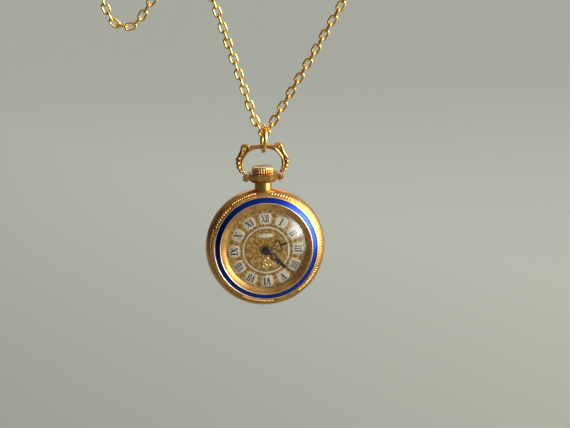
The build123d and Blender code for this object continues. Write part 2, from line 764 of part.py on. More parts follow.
with BuildPart() as main_plate:
    rod(centre, plate_back_d, plate_front_d, movement_r)
    with BuildSketch(layer(plate_front_d, centre)):
        Circle(movement_r - run_gap)
        Circle(movement_r - movement_rim_w, mode=Mode.SUBTRACT)
        with Locations((0, movement_r)):
            Rectangle(3 * boss_half_w, movement_r / 2, mode=Mode.SUBTRACT)
    extrude(amount=works_h)
    with BuildSketch(layer(bridge_front_d, centre)):
        with Locations((0, (boss_low_v + movement_r) / 2)):
            Rectangle(2 * boss_half_w, movement_r - boss_low_v)
        Circle(movement_r - run_gap, mode=Mode.INTERSECT)
    extrude(amount=train_h)
    rod(barrel_spot, bridge_front_d, plate_back_d, barrel_tip_r + 3 * side_gap, mode=Mode.SUBTRACT)
    with BuildSketch(layer(bridge_front_d - overrun, centre)):
        with Locations((0, (pocket_low_v + stem_bearing_v) / 2)):
            Rectangle(2 * pocket_half_w, stem_bearing_v - pocket_low_v)
    extrude(amount=train_h + plate_t + 2 * overrun, mode=Mode.SUBTRACT)
    turned(boss_low_v - movement_drop - overrun, pocket_low_v - boss_low_v + 2 * overrun,
           stem_pilot_r + run_gap, mode=Mode.SUBTRACT)
    turned(stem_bearing_v - movement_drop - overrun, movement_r - stem_bearing_v + 2 * overrun,
           stem_r + run_gap, mode=Mode.SUBTRACT)
    for post in (lever_pivot, yoke_pivot):
        rod(post, plate_front_d - plate_t / 2, yoke_d + lever_t - side_gap, post_r)
    rod(setting_wheel_spot, plate_front_d - plate_t / 2, motion_front_d, post_r)
    rod(minute_wheel_spot, plate_front_d - plate_t / 2, motion_front_d + wheel_t, post_r)
    rod(spring_anchor, plate_front_d - plate_t / 2, dial_back_d, post_r, mode=Mode.SUBTRACT)
    rod(spring_anchor, plate_front_d - plate_t / 2, plate_front_d, post_r)
    rod(centre, plate_back_d - overrun, plate_front_d + overrun, centre_arbor_r + run_gap, mode=Mode.SUBTRACT)
    rod(barrel_spot, plate_back_d - overrun, plate_front_d + overrun, barrel_arbor_r + run_gap,
        mode=Mode.SUBTRACT)
    for angle in dial_foot_angles:
        rod(onwards(centre, dial_foot_ring_r, angle), plate_back_d + plate_t / 4, dial_back_d, dial_foot_r,
            mode=Mode.SUBTRACT)
    for angle in case_screw_angles:
        rod(onwards(centre, case_screw_ring_r, angle), plate_back_d - overrun, plate_back_d + screw_bite,
            screw_r, mode=Mode.SUBTRACT)
    screw_holes()
    jewel_seats(plate_back_d)

with BuildPart() as barrel_bridge:
    with BuildSketch(layer(bridge_back_d, centre)):
        with BuildLine():
            Polyline((-movement_r, barrel_bridge_steps[0][1]), *barrel_bridge_steps,
                     (barrel_bridge_steps[-1][0], movement_r), (-movement_r, movement_r), close=True)
        make_face()
        Circle(movement_r - side_gap, mode=Mode.INTERSECT)
        with Locations((0, (pocket_low_v + stem_bearing_v) / 2)):
            Rectangle(2 * pocket_half_w - 4 * side_gap, stem_bearing_v - pocket_low_v, mode=Mode.SUBTRACT)
    extrude(amount=bridge_t)
    for spot in barrel_feet:
        rod(spot, bridge_front_d, plate_back_d, foot_r)
    rod(centre, bridge_back_d - overrun, bridge_front_d + overrun, centre_arbor_r + run_gap,
        mode=Mode.SUBTRACT)
    rod(barrel_spot, bridge_back_d - overrun, bridge_front_d + overrun, barrel_arbor_r + run_gap,
        mode=Mode.SUBTRACT)
    rod(crown_wheel_spot, bridge_back_d, bridge_front_d + overrun, screw_r, mode=Mode.SUBTRACT)
    rod(click_spot, wheel_back_d, bridge_front_d, post_r)
    rod(click_spring_foot, bridge_back_d, bridge_back_d + bridge_t / 2, post_r, mode=Mode.SUBTRACT)
    screw_holes()

with BuildPart() as train_bridge:
    with BuildSketch(layer(bridge_back_d, centre)):
        with BuildLine():
            Polyline((train_bridge_low_x, -movement_r), (movement_r, -movement_r),
                     (movement_r, train_bridge_corner[1]), train_bridge_corner, close=True)
        make_face()
        Circle(movement_r - side_gap, mode=Mode.INTERSECT)
    extrude(amount=bridge_t)
    for spot in train_feet:
        rod(spot, bridge_front_d, plate_back_d, foot_r)
    screw_holes()
    jewel_seats(bridge_back_d - overrun)

with BuildPart() as pallet_cock:
    with BuildSketch(layer(bridge_back_d)):
        add(capsule(pallet_foot, pallet_spot, foot_r, 1.6 * jewel_r))
    extrude(amount=bridge_t)
    rod(pallet_foot, bridge_front_d, plate_back_d, foot_r)
    screw_holes()
    jewel_seats(bridge_back_d - overrun)

index_t = 0.15
stud_spot = onwards(balance_spot, hairspring_r - hairspring_t / 2, 0)
with BuildPart() as balance_cock:
    with BuildSketch(layer(bridge_back_d)):
        add(capsule(cock_foot, balance_spot, 1.4 * foot_r, 1.7 * foot_r))
        add(capsule(balance_spot, stud_spot, 1.7 * foot_r, foot_r / 2))
    extrude(amount=bridge_t)
    rod(cock_foot, bridge_front_d, plate_back_d, 1.4 * foot_r)
    rod(balance_spot, bridge_back_d - index_t - run_gap, bridge_back_d, jewel_r + 2 * side_gap)
    rod(onwards(stud_spot, foot_r / 4, 0), bridge_front_d, near_bridge_d + hairspring_h,
        foot_r / 4 - hairspring_t)
    screw_holes()
    jewel_seats(bridge_back_d - overrun)

with BuildPart() as regulator_index:
    with BuildSketch(layer(bridge_back_d - index_t - run_gap, balance_spot)):
        Circle(2 * jewel_r)
        add(capsule((0, 0), (-foot_r, 3 * foot_r), jewel_r, slot_w / 2))
        Circle(jewel_r + 2 * side_gap + run_gap, mode=Mode.SUBTRACT)
    extrude(amount=index_t)

with BuildPart() as bridge_screws:
    for spot in (*barrel_feet, *train_feet, cock_foot, pallet_foot):
        rod(spot, bridge_back_d, bridge_back_d + screw_head_t, screw_head_r)
        rod(spot, bridge_back_d + screw_head_t, plate_back_d + screw_bite, screw_r)
        with BuildSketch(layer(bridge_back_d - overrun, spot)):
            Rectangle(2 * screw_head_r, slot_w)
        extrude(amount=slot_depth + overrun, mode=Mode.SUBTRACT)

with BuildPart() as case_screws:
    for angle in case_screw_angles:
        spot = onwards(centre, case_screw_ring_r, angle)
        rod(spot, plate_back_d - screw_head_t, plate_back_d, case_screw_head_r)
        rod(spot, plate_back_d, plate_back_d + screw_bite, screw_r)
        with BuildSketch(layer(plate_back_d - screw_head_t - overrun, spot)):
            Rectangle(2 * case_screw_head_r, slot_w)
        extrude(amount=slot_depth + overrun, mode=Mode.SUBTRACT)

with BuildPart() as jewels:
    for spot in jewelled:
        for back_d in (bridge_front_d - jewel_t, plate_back_d):
            rod(spot, back_d, back_d + jewel_t, jewel_r)
            rod(spot, back_d - overrun, back_d + jewel_t + overrun, pivot_bore_r, mode=Mode.SUBTRACT)

with BuildPart() as movement_ring:
    rod((0, 0), plate_back_d, plate_front_d, bore_r)
    rod(centre, plate_back_d - overrun, plate_front_d + overrun, movement_r + run_gap, mode=Mode.SUBTRACT)
    turned(0, bore_r + overrun, 1.5 * stem_r, mode=Mode.SUBTRACT)

# Barrel
barrel_teeth_d = near_plate_d
cup_back_d = middle_d - side_gap
with BuildPart() as barrel_drum:
    rod(barrel_spot, cup_back_d + barrel_lid_t, plate_back_d - 2 * side_gap, barrel_cup_r)
    with BuildSketch(layer(barrel_teeth_d, barrel_spot)):
        add(toothed(barrel_teeth, barrel_module, direction(barrel_spot, centre)))
    extrude(amount=wheel_t)
    rod(barrel_spot, cup_back_d + barrel_lid_t, plate_back_d - 2 * side_gap - barrel_floor_t,
        barrel_cup_inner_r, mode=Mode.SUBTRACT)
    rod(barrel_spot, cup_back_d, plate_back_d, barrel_arbor_r + run_gap, mode=Mode.SUBTRACT)

with BuildPart() as barrel_lid:
    rod(barrel_spot, cup_back_d, cup_back_d + barrel_lid_t, barrel_cup_r)
    rod(barrel_spot, cup_back_d - overrun, plate_back_d, barrel_arbor_r + run_gap, mode=Mode.SUBTRACT)

spring_back_d = cup_back_d + barrel_lid_t + side_gap
spring_front_d = plate_back_d - 2 * side_gap - barrel_floor_t - side_gap
with BuildPart() as barrel_arbor:
    rod(barrel_spot, bridge_back_d, plate_front_d - plate_t / 4, barrel_arbor_r)
    rod(barrel_spot, spring_back_d, spring_front_d, barrel_core_r)
    with BuildSketch(layer(wheel_back_d, barrel_spot)):
        Rectangle(2 * barrel_arbor_r, 2 * barrel_arbor_r)
    extrude(amount=bridge_back_d - wheel_back_d)
    rod(barrel_spot, wheel_back_d - screw_head_t, wheel_back_d, 2 * screw_head_r)

with BuildPart() as mainspring:
    with BuildSketch(layer(spring_back_d, barrel_spot)):
        add(spiral_strip(barrel_core_r + mainspring_t, barrel_cup_inner_r, mainspring_turns, mainspring_t))
    extrude(amount=spring_front_d - spring_back_d)

# Going train
with BuildPart() as centre_wheel:
    with BuildSketch(layer(near_bridge_d, centre)):
        add(train_wheel(centre_teeth, centre_module, third_angle))
    extrude(amount=wheel_t)
    with BuildSketch(layer(cup_back_d, centre)):
        add(toothed(centre_pinion_teeth, barrel_module,
                    gap_at(direction(centre, barrel_spot), centre_pinion_teeth)))
    extrude(amount=plate_back_d - side_gap - cup_back_d)
    rod(centre, bridge_back_d, minute_hand_d, centre_arbor_r)

with BuildPart() as third_wheel:
    with BuildSketch(layer(near_plate_d, third_spot)):
        add(train_wheel(third_teeth, third_module, fourth_angle))
    extrude(amount=wheel_t)
    with BuildSketch(layer(near_bridge_d - side_gap, third_spot)):
        add(toothed(third_pinion_teeth, centre_module, gap_at(third_angle + 180, third_pinion_teeth)))
    extrude(amount=wheel_t + 2 * side_gap)
    rod(third_spot, bridge_front_d + side_gap, plate_back_d - side_gap, arbor_r)
    rod(third_spot, bridge_front_d - pivot_len, plate_back_d + pivot_len, pivot_r)

with BuildPart() as fourth_wheel:
    with BuildSketch(layer(middle_d, fourth_spot)):
        add(train_wheel(fourth_teeth, fourth_module, escape_angle))
    extrude(amount=wheel_t)
    with BuildSketch(layer(near_plate_d - side_gap, fourth_spot)):
        add(toothed(fourth_pinion_teeth, third_module, gap_at(fourth_angle + 180, fourth_pinion_teeth)))
    extrude(amount=wheel_t + 2 * side_gap)
    rod(fourth_spot, bridge_front_d + side_gap, plate_back_d - side_gap, arbor_r)
    rod(fourth_spot, bridge_front_d - pivot_len, plate_back_d + pivot_len, pivot_r)

escape_lean = 0.75
escape_root_share = 0.2
escape_tip_share = 0.08
with BuildPart() as escape_wheel:
    escape_step = 360 / escape_teeth
    lean_share = escape_lean / escape_teeth
    tooth_spots = ((escape_root_r, -escape_root_share), (escape_r, lean_share - escape_tip_share),
                   (escape_r, lean_share + escape_tip_share), (escape_root_r, escape_root_share))
    with BuildSketch(layer(near_plate_d, escape_spot)):
        with BuildLine():
            Polyline(*[onwards((0, 0), radius, pallet_angle + (n + 0.5 + share) * escape_step)
                       for n in range(escape_teeth) for radius, share in tooth_spots], close=True)
        make_face()
        with PolarLocations((escape_root_r + wheel_hub_r) / 2, 4):
            Circle((escape_root_r - wheel_hub_r) / 3, mode=Mode.SUBTRACT)
    extrude(amount=wheel_t)
    with BuildSketch(layer(middle_d - side_gap, escape_spot)):
        add(toothed(escape_pinion_teeth, fourth_module, gap_at(escape_angle + 180, escape_pinion_teeth)))
    extrude(amount=wheel_t + 2 * side_gap)
    rod(escape_spot, bridge_front_d + side_gap, plate_back_d - side_gap, pivot_bore_r)
    rod(escape_spot, bridge_front_d - pivot_len, plate_back_d + pivot_len, pivot_r)

# Lever escapement and balance
stone_ring_r = escape_r + pallet_stone_l / 4
stone_spots = [onwards(escape_spot, stone_ring_r, pallet_angle + side * pallet_span_angle / 2)
               for side in (-1, 1)]
fork_tip = onwards(balance_spot, roller_pin_ring_r / 2, direction(balance_spot, pallet_spot))
with BuildPart() as pallet_fork:
    with BuildSketch(layer(near_plate_d)):
        add(capsule(pallet_spot, fork_tip, 1.2 * pallet_arm_w, pallet_arm_w / 2))
        for stone in stone_spots:
            add(capsule(pallet_spot, stone, 1.2 * pallet_arm_w, pallet_arm_w))
        for stone in stone_spots:
            with Locations(Location((*stone, 0), (0, 0, pallet_angle))):
                Rectangle(pallet_stone_l, pallet_stone_w, mode=Mode.SUBTRACT)
        with Locations(Location((*fork_tip, 0), (0, 0, pallet_angle))):
            Rectangle(4 * roller_pin_ring_r, 2.6 * roller_pin_r, mode=Mode.SUBTRACT)
        with Locations(balance_spot):
            Circle(2 * staff_r, mode=Mode.SUBTRACT)
        with Locations(escape_spot):
            Circle(escape_r + 2 * side_gap, mode=Mode.SUBTRACT)
    extrude(amount=wheel_t)
    rod(pallet_spot, bridge_front_d + side_gap, plate_back_d - side_gap, pivot_bore_r)
    rod(pallet_spot, bridge_front_d - pivot_len, plate_back_d + pivot_len, pivot_r)

with BuildPart() as pallet_stones:
    for stone in stone_spots:
        with BuildSketch(Plane(origin=layer(near_plate_d, stone).origin, z_dir=(0, -1, 0),
                               x_dir=(cos(radians(pallet_angle)), 0, sin(radians(pallet_angle))))):
            Rectangle(pallet_stone_l, pallet_stone_w)
        extrude(amount=wheel_t)

balance_d = middle_d - side_gap
with BuildPart() as balance_wheel:
    with BuildSketch(layer(balance_d, balance_spot)):
        Circle(balance_r)
        Circle(balance_r - balance_rim_w, mode=Mode.SUBTRACT)
        Rectangle(2 * balance_r - balance_rim_w, balance_arm_w)
        Circle(2 * staff_r)
        Circle(staff_r, mode=Mode.SUBTRACT)
    extrude(amount=balance_t)

roller_d = near_plate_d - roller_t - run_gap
with BuildPart() as balance_staff:
    rod(balance_spot, bridge_front_d + side_gap, plate_back_d - side_gap, staff_r)
    rod(balance_spot, bridge_front_d - pivot_len, plate_back_d + pivot_len, pivot_r)
    rod(balance_spot, roller_d, roller_d + roller_t, roller_r)
    rod(onwards(balance_spot, roller_pin_ring_r, direction(balance_spot, pallet_spot)), roller_d,
        near_plate_d + wheel_t, roller_pin_r)

with BuildPart() as hairspring:
    with BuildSketch(layer(near_bridge_d, balance_spot)):
        add(spiral_strip(2 * staff_r + hairspring_t, hairspring_r, hairspring_turns, hairspring_t))
        Circle(2 * staff_r)
        Circle(staff_r, mode=Mode.SUBTRACT)
    extrude(amount=hairspring_h)

# Motion work and hands
with BuildPart() as cannon_pinion:
    with BuildSketch(layer(motion_d, centre)):
        add(toothed(cannon_teeth, setting_module, gap_at(minute_wheel_angle, cannon_teeth)))
    extrude(amount=wheel_t)
    rod(centre, motion_d, minute_hand_d + hand_t, cannon_tube_r)
    rod(centre, motion_d - overrun, minute_hand_d + hand_t + overrun, centre_arbor_r, mode=Mode.SUBTRACT)

with BuildPart() as minute_wheel:
    with BuildSketch(layer(motion_d, minute_wheel_spot)):
        add(toothed(minute_wheel_teeth, setting_module, minute_wheel_angle + 180))
    extrude(amount=wheel_t)
    with BuildSketch(layer(motion_front_d, minute_wheel_spot)):
        add(toothed(minute_pinion_teeth, setting_module, minute_wheel_angle + 180))
    extrude(amount=wheel_t + side_gap)
    rod(minute_wheel_spot, motion_d - overrun, dial_back_d, post_r + run_gap, mode=Mode.SUBTRACT)

with BuildPart() as hour_wheel:
    with BuildSketch(layer(motion_front_d + side_gap, centre)):
        add(toothed(hour_wheel_teeth, setting_module, gap_at(minute_wheel_angle, hour_wheel_teeth)))
    extrude(amount=wheel_t)
    rod(centre, motion_front_d + side_gap, hour_hand_d + hand_t, hour_tube_r)
    rod(centre, motion_d, minute_hand_d, cannon_tube_r + run_gap, mode=Mode.SUBTRACT)

with BuildPart() as hour_hand:
    with BuildSketch(Plane(origin=layer(hour_hand_d, centre).origin, z_dir=(0, -1, 0),
                           x_dir=(cos(radians(hands_hour_angle)), 0, -sin(radians(hands_hour_angle))))):
        add(hand_outline(hour_hand_len, hour_station_shares))
        Circle(hand_hub_r)
        with Locations((0, 0.45 * hour_hand_len)):
            Circle(0.055 * hour_hand_len, mode=Mode.SUBTRACT)
        for side in (-1, 1):
            with Locations((side * 0.115 * hour_hand_len, 0.46 * hour_hand_len)):
                Circle(0.05 * hour_hand_len, mode=Mode.SUBTRACT)
        Circle(hour_tube_r, mode=Mode.SUBTRACT)
    extrude(amount=hand_t)

with BuildPart() as minute_hand:
    with BuildSketch(Plane(origin=layer(minute_hand_d, centre).origin, z_dir=(0, -1, 0),
                           x_dir=(cos(radians(hands_minute_angle)), 0, -sin(radians(hands_minute_angle))))):
        add(hand_outline(minute_hand_len, minute_station_shares))
        Circle(hand_hub_r)
        with Locations((0, 0.26 * minute_hand_len)):
            Ellipse(0.05 * minute_hand_len, 0.07 * minute_hand_len, mode=Mode.SUBTRACT)
        Circle(cannon_tube_r, mode=Mode.SUBTRACT)
    extrude(amount=hand_t)

with BuildPart() as hand_boss:
    rod(centre, minute_hand_d + hand_t, minute_hand_d + hand_t + hub_dome_h, hub_dome_r)
    fillet(hand_boss.edges().sort_by(Axis.Y)[0], radius=hub_dome_round_share * hub_dome_h)

# Dial
with BuildPart() as dial:
    rod(centre, dial_back_d, dial_front_d, dial_r)
    for angle in dial_foot_angles:
        rod(onwards(centre, dial_foot_ring_r, angle), plate_back_d + plate_t / 4, dial_back_d, dial_foot_r)
    rod(centre, dial_back_d - overrun, dial_front_d + overrun, dial_hole_r, mode=Mode.SUBTRACT)

with BuildPart() as dial_cartouches:
    with BuildSketch(layer(dial_front_d, centre)):
        with PolarLocations(cartouche_ring_r, cartouche_count):
            RectangleRounded(cartouche_h, cartouche_w, cartouche_corner)
    extrude(amount=cartouche_t)

with BuildPart() as dial_track:
    with BuildSketch(layer(dial_front_d, centre)):
        Circle(track_r)
        Circle(track_r - track_w, mode=Mode.SUBTRACT)
    extrude(amount=track_t)

with BuildPart() as dial_plaque:
    with BuildSketch(layer(dial_front_d, on_movement(0, plaque_up))):
        RectangleRounded(plaque_w, plaque_h, plaque_h / 3)
    extrude(amount=track_t)

# Bow and bail
bow_h = bow_top_z - bow_pivot_z


def on_bow(side, shares):
    """A point in the bow's middle plane, from its shares of the half width and of the height."""
    return (side * shares[0] * bow_half_w, -stem_d, bow_pivot_z + shares[1] * bow_h)


with BuildPart() as bow:
    with BuildLine() as course:
        arms = []
        for side in (-1, 1):
            eye_middle = (side * (bow_eye_x + bow_eye_t / 2), -stem_d, bow_pivot_z)
            bar_end = (side * bow_bar_l / 2, -stem_d, bow_top_z)
            arms.append(Spline(eye_middle, *[on_bow(side, shares) for shares in bow_side_shares], bar_end,
                               tangents=((side, 0, 2), (-side, 0, 0))))
        Line(arms[0] @ 1, arms[1] @ 1)
    with BuildSketch(Plane(origin=arms[0] @ 0, z_dir=arms[0] % 0)):
        Circle(bow_wire_r)
    sweep(path=course.line)
    for side in (-1, 1):
        for shares in bow_bead_shares:
            with Locations(on_bow(side, shares)):
                Sphere(bow_bead_r)
        volute_at = on_bow(side, volute_shares)
        with BuildSketch(layer(stem_d - volute_t / 2, (volute_at[0], volute_at[2]))):
            Circle(volute_r)
        extrude(amount=volute_t)
        with BuildSketch(Plane(origin=(side * bow_eye_x, -stem_d, bow_pivot_z), x_dir=(0, 1, 0),
                               z_dir=(side, 0, 0))):
            Circle(bow_eye_r)
        extrude(amount=bow_eye_t)
    for side in (-1, 1):
        with BuildSketch(Plane(origin=(side * (bow_eye_x - overrun), -stem_d, bow_pivot_z), x_dir=(0, 1, 0),
                               z_dir=(side, 0, 0))):
            Circle(bow_screw_head_r + side_gap)
        extrude(amount=overrun, mode=Mode.SUBTRACT)
        with BuildSketch(Plane(origin=(side * (bow_eye_x - overrun), -stem_d, bow_pivot_z), x_dir=(0, 1, 0),
                               z_dir=(side, 0, 0))):
            Circle(bow_screw_r + run_gap)
        extrude(amount=bow_eye_t + 2 * overrun, mode=Mode.SUBTRACT)
        with BuildSketch(Plane(origin=(side * (bow_eye_x + bow_eye_t), -stem_d, bow_pivot_z), x_dir=(0, 1, 0),
                               z_dir=(side, 0, 0))):
            Circle(bow_screw_head_r + side_gap)
        extrude(amount=overrun, mode=Mode.SUBTRACT)

bail_low_z = bow_top_z - bow_wire_r - bail_seat_gap
bail_z = bail_low_z + bail_ring_r - bail_wire_r
bail_top_z = bail_z + bail_ring_r - bail_wire_r
bail_top_x = bail_x + (bail_ring_r - bail_wire_r) * sin(radians(bail_lean))
bail_normal = (cos(radians(bail_lean)) * cos(radians(bail_twist)), sin(radians(bail_twist)),
               -sin(radians(bail_lean)))
with BuildPart() as bail:
    with Locations(Plane(origin=(bail_x, -stem_d, bail_z), z_dir=bail_normal)):
        Torus(bail_ring_r, bail_wire_r)

# Chain
link_reach = link_l / 2 - link_wire_r
link_side = link_w / 2 - link_wire_r
link_play = 2 * link_wire_r + link_gap
with BuildPart() as one_link:
    with BuildLine() as loop:
        top = Line((-link_reach + link_side, link_side), (link_reach - link_side, link_side))
        RadiusArc(top @ 1, (link_reach - link_side, -link_side), link_side)
        low = Line((link_reach - link_side, -link_side), (-link_reach + link_side, -link_side))
        RadiusArc(low @ 1, top @ 0, link_side)
    with BuildSketch(Plane(origin=top @ 0, z_dir=top % 0)):
        Circle(link_wire_r)
    sweep(path=loop.line)


def heading_vector(heading):
    """The direction of a link, from a heading in degrees from straight up."""
    return Vector(sin(radians(heading)), 0, cos(radians(heading)))


def run_of_links(centre_point, heading, runs, face_on):
    """The planes of the links that follow one another from a link, with its last heading."""
    planes = []
    for count, first, last in runs:
        for n in range(count):
            behind, heading = heading_vector(heading), first + (last - first) * n / max(count - 1, 1)
            ahead = heading_vector(heading)
            turn = behind if face_on else ahead
            centre_point += (behind + ahead) * (link_reach - link_side) + turn * (2 * link_side - link_play)
            normal = Vector(0, 1, 0) if face_on else ahead.cross(Vector(0, 1, 0))
            planes.append(Plane(origin=centre_point, x_dir=ahead, z_dir=normal))
            face_on = not face_on
    return planes, centre_point, heading, face_on


bottom_z = bail_top_z - link_gap - link_wire_r - link_side
bottom = Vector(bail_top_x, -stem_d, bottom_z)
left_planes, left_end, left_heading, left_face = run_of_links(bottom, -90, left_runs, False)
right_planes, right_end, right_heading, right_face = run_of_links(bottom, 90, right_runs, False)

with BuildPart() as chain_left:
    with Locations(Plane(origin=bottom, x_dir=(1, 0, 0), z_dir=(0, 1, 0)), *left_planes):
        add(one_link.part)

with BuildPart() as chain_right:
    with Locations(*right_planes):
        add(one_link.part)


def ring_plane(end, heading, face_on, ring_r, wire_r):
    """The plane of a ring hooked into the last link of a run."""
    ahead = heading_vector(heading)
    middle = end + ahead * (link_reach - link_wire_r - wire_r - link_gap + ring_r)
    normal = Vector(0, 1, 0) if face_on else ahead.cross(Vector(0, 1, 0))
    return Plane(origin=middle, x_dir=ahead, z_dir=normal)


with BuildPart() as chain_ends:
    with Locations(ring_plane(right_end, right_heading, right_face, end_ring_r, end_ring_wire_r)):
        Torus(end_ring_r, end_ring_wire_r)
    clasp_plane = ring_plane(left_end, left_heading, left_face, clasp_ring_r, clasp_wire_r)
    with Locations(clasp_plane):
        Torus(clasp_ring_r, clasp_wire_r)
    with Locations(clasp_plane * Location((clasp_ring_r, 0, 0), (90, 0, 0))):
        Cylinder(clasp_sleeve_r, clasp_sleeve_l)

pieces = {
    "case_middle": case_middle, "back_cover": back_cover, "bezel": bezel, "enamel_ring": enamel_ring,
    "crystal": crystal, "reflector_ring": reflector_ring, "pendant_neck": pendant_neck,
    "pendant_collar": pendant_collar, "bow_screws": bow_screws, "crown": crown,
    "winding_stem": winding_stem, "winding_pinion": winding_pinion, "sliding_pinion": sliding_pinion,
    "setting_lever": setting_lever, "yoke": yoke, "yoke_spring": yoke_spring,
    "setting_wheel": setting_wheel, "crown_wheel": crown_wheel, "ratchet_wheel": ratchet_wheel,
    "crown_wheel_screw": winding_screws, "click": click, "click_spring": click_spring,
    "main_plate": main_plate, "barrel_bridge": barrel_bridge, "train_bridge": train_bridge,
    "pallet_cock": pallet_cock, "balance_cock": balance_cock, "regulator_index": regulator_index,
    "bridge_screws": bridge_screws, "case_screws": case_screws, "jewels": jewels,
    "movement_ring": movement_ring, "barrel_drum": barrel_drum, "barrel_lid": barrel_lid,
    "barrel_arbor": barrel_arbor, "mainspring": mainspring, "centre_wheel": centre_wheel,
    "third_wheel": third_wheel, "fourth_wheel": fourth_wheel, "escape_wheel": escape_wheel,
    "pallet_fork": pallet_fork, "pallet_stones": pallet_stones, "balance_wheel": balance_wheel,
    "balance_staff": balance_staff, "hairspring": hairspring, "cannon_pinion": cannon_pinion,
    "minute_wheel": minute_wheel, "hour_wheel": hour_wheel, "hour_hand": hour_hand,
    "minute_hand": minute_hand, "hand_boss": hand_boss, "dial": dial,
    "dial_cartouches": dial_cartouches, "dial_track": dial_track, "dial_plaque": dial_plaque,
    "bow": bow, "bail": bail, "chain_left": chain_left, "chain_right": chain_right,
    "chain_ends": chain_ends,
}
os.makedirs("parts", exist_ok=True)
for name, piece in pieces.items():
    piece.part.label = name
    export_step(piece.part, f"parts/{name}.step")
print(len(pieces), "pieces")
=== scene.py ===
"""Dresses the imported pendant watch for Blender: its finishes, dial work, bow, crown, light and camera."""

from __future__ import annotations

import json
import logging
import math
from dataclasses import dataclass
from enum import Enum
from typing import Any, Callable, Iterable, Sequence

import bmesh
import bpy
from mathutils import Matrix, Vector

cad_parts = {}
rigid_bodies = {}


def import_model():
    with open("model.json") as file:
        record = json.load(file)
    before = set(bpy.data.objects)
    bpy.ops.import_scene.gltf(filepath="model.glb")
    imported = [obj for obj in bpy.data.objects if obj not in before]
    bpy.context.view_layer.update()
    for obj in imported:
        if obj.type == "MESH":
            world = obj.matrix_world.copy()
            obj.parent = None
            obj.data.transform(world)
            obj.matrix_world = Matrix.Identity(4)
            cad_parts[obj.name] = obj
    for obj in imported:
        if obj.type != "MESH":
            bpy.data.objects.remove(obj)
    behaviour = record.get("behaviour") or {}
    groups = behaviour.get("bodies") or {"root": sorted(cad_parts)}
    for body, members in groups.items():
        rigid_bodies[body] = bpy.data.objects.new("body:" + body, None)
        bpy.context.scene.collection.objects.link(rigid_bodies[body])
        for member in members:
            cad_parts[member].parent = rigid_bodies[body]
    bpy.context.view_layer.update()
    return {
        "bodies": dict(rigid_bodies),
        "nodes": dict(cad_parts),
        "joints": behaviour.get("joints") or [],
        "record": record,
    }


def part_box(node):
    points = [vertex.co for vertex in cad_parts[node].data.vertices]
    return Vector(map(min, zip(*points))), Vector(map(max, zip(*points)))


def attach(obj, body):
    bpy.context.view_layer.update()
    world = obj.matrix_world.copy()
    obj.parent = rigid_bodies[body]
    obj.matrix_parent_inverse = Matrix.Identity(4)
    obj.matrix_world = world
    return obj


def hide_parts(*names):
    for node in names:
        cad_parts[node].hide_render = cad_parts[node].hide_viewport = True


LOG = logging.getLogger("pendant_watch")
MM = 0.001
# The stem's depth from the back face, and how far the dial's middle lies below the case's, in millimetres
STEM_DEPTH = 3.0
MOVEMENT_DROP = 0.5
# The step from hour to hour on the dial, and the sharpest edge that is shaded smooth, in degrees
HOUR_STEP = 30.0
SMOOTH_ANGLE = 40.0
# Steps from point to point of a rounded line
SPAN_STEPS = 8
# Below this radius in millimetres a ring is a single point
POINT_R = 1e-6
FORWARD = Vector((0, -1, 0))

Point = tuple[float, float]
Triple = tuple[float, float, float]
Quad = tuple[float, float, float, float]
Inputs = dict[Any, Any]
Socket = bpy.types.NodeSocket
Mesh = bpy.types.Mesh
BMesh = bmesh.types.BMesh


def linear(code: str) -> Quad:
    """Turns an sRGB colour into its linear channels.

    Args:
        code: Six hex digits.

    Returns:
        Red, green, blue and full alpha.
    """
    channels = (int(code[i:i + 2], 16) / 255 for i in (0, 2, 4))
    red, green, blue = (c / 12.92 if c <= 0.04045 else ((c + 0.055) / 1.055) ** 2.4 for c in channels)
    return red, green, blue, 1.0


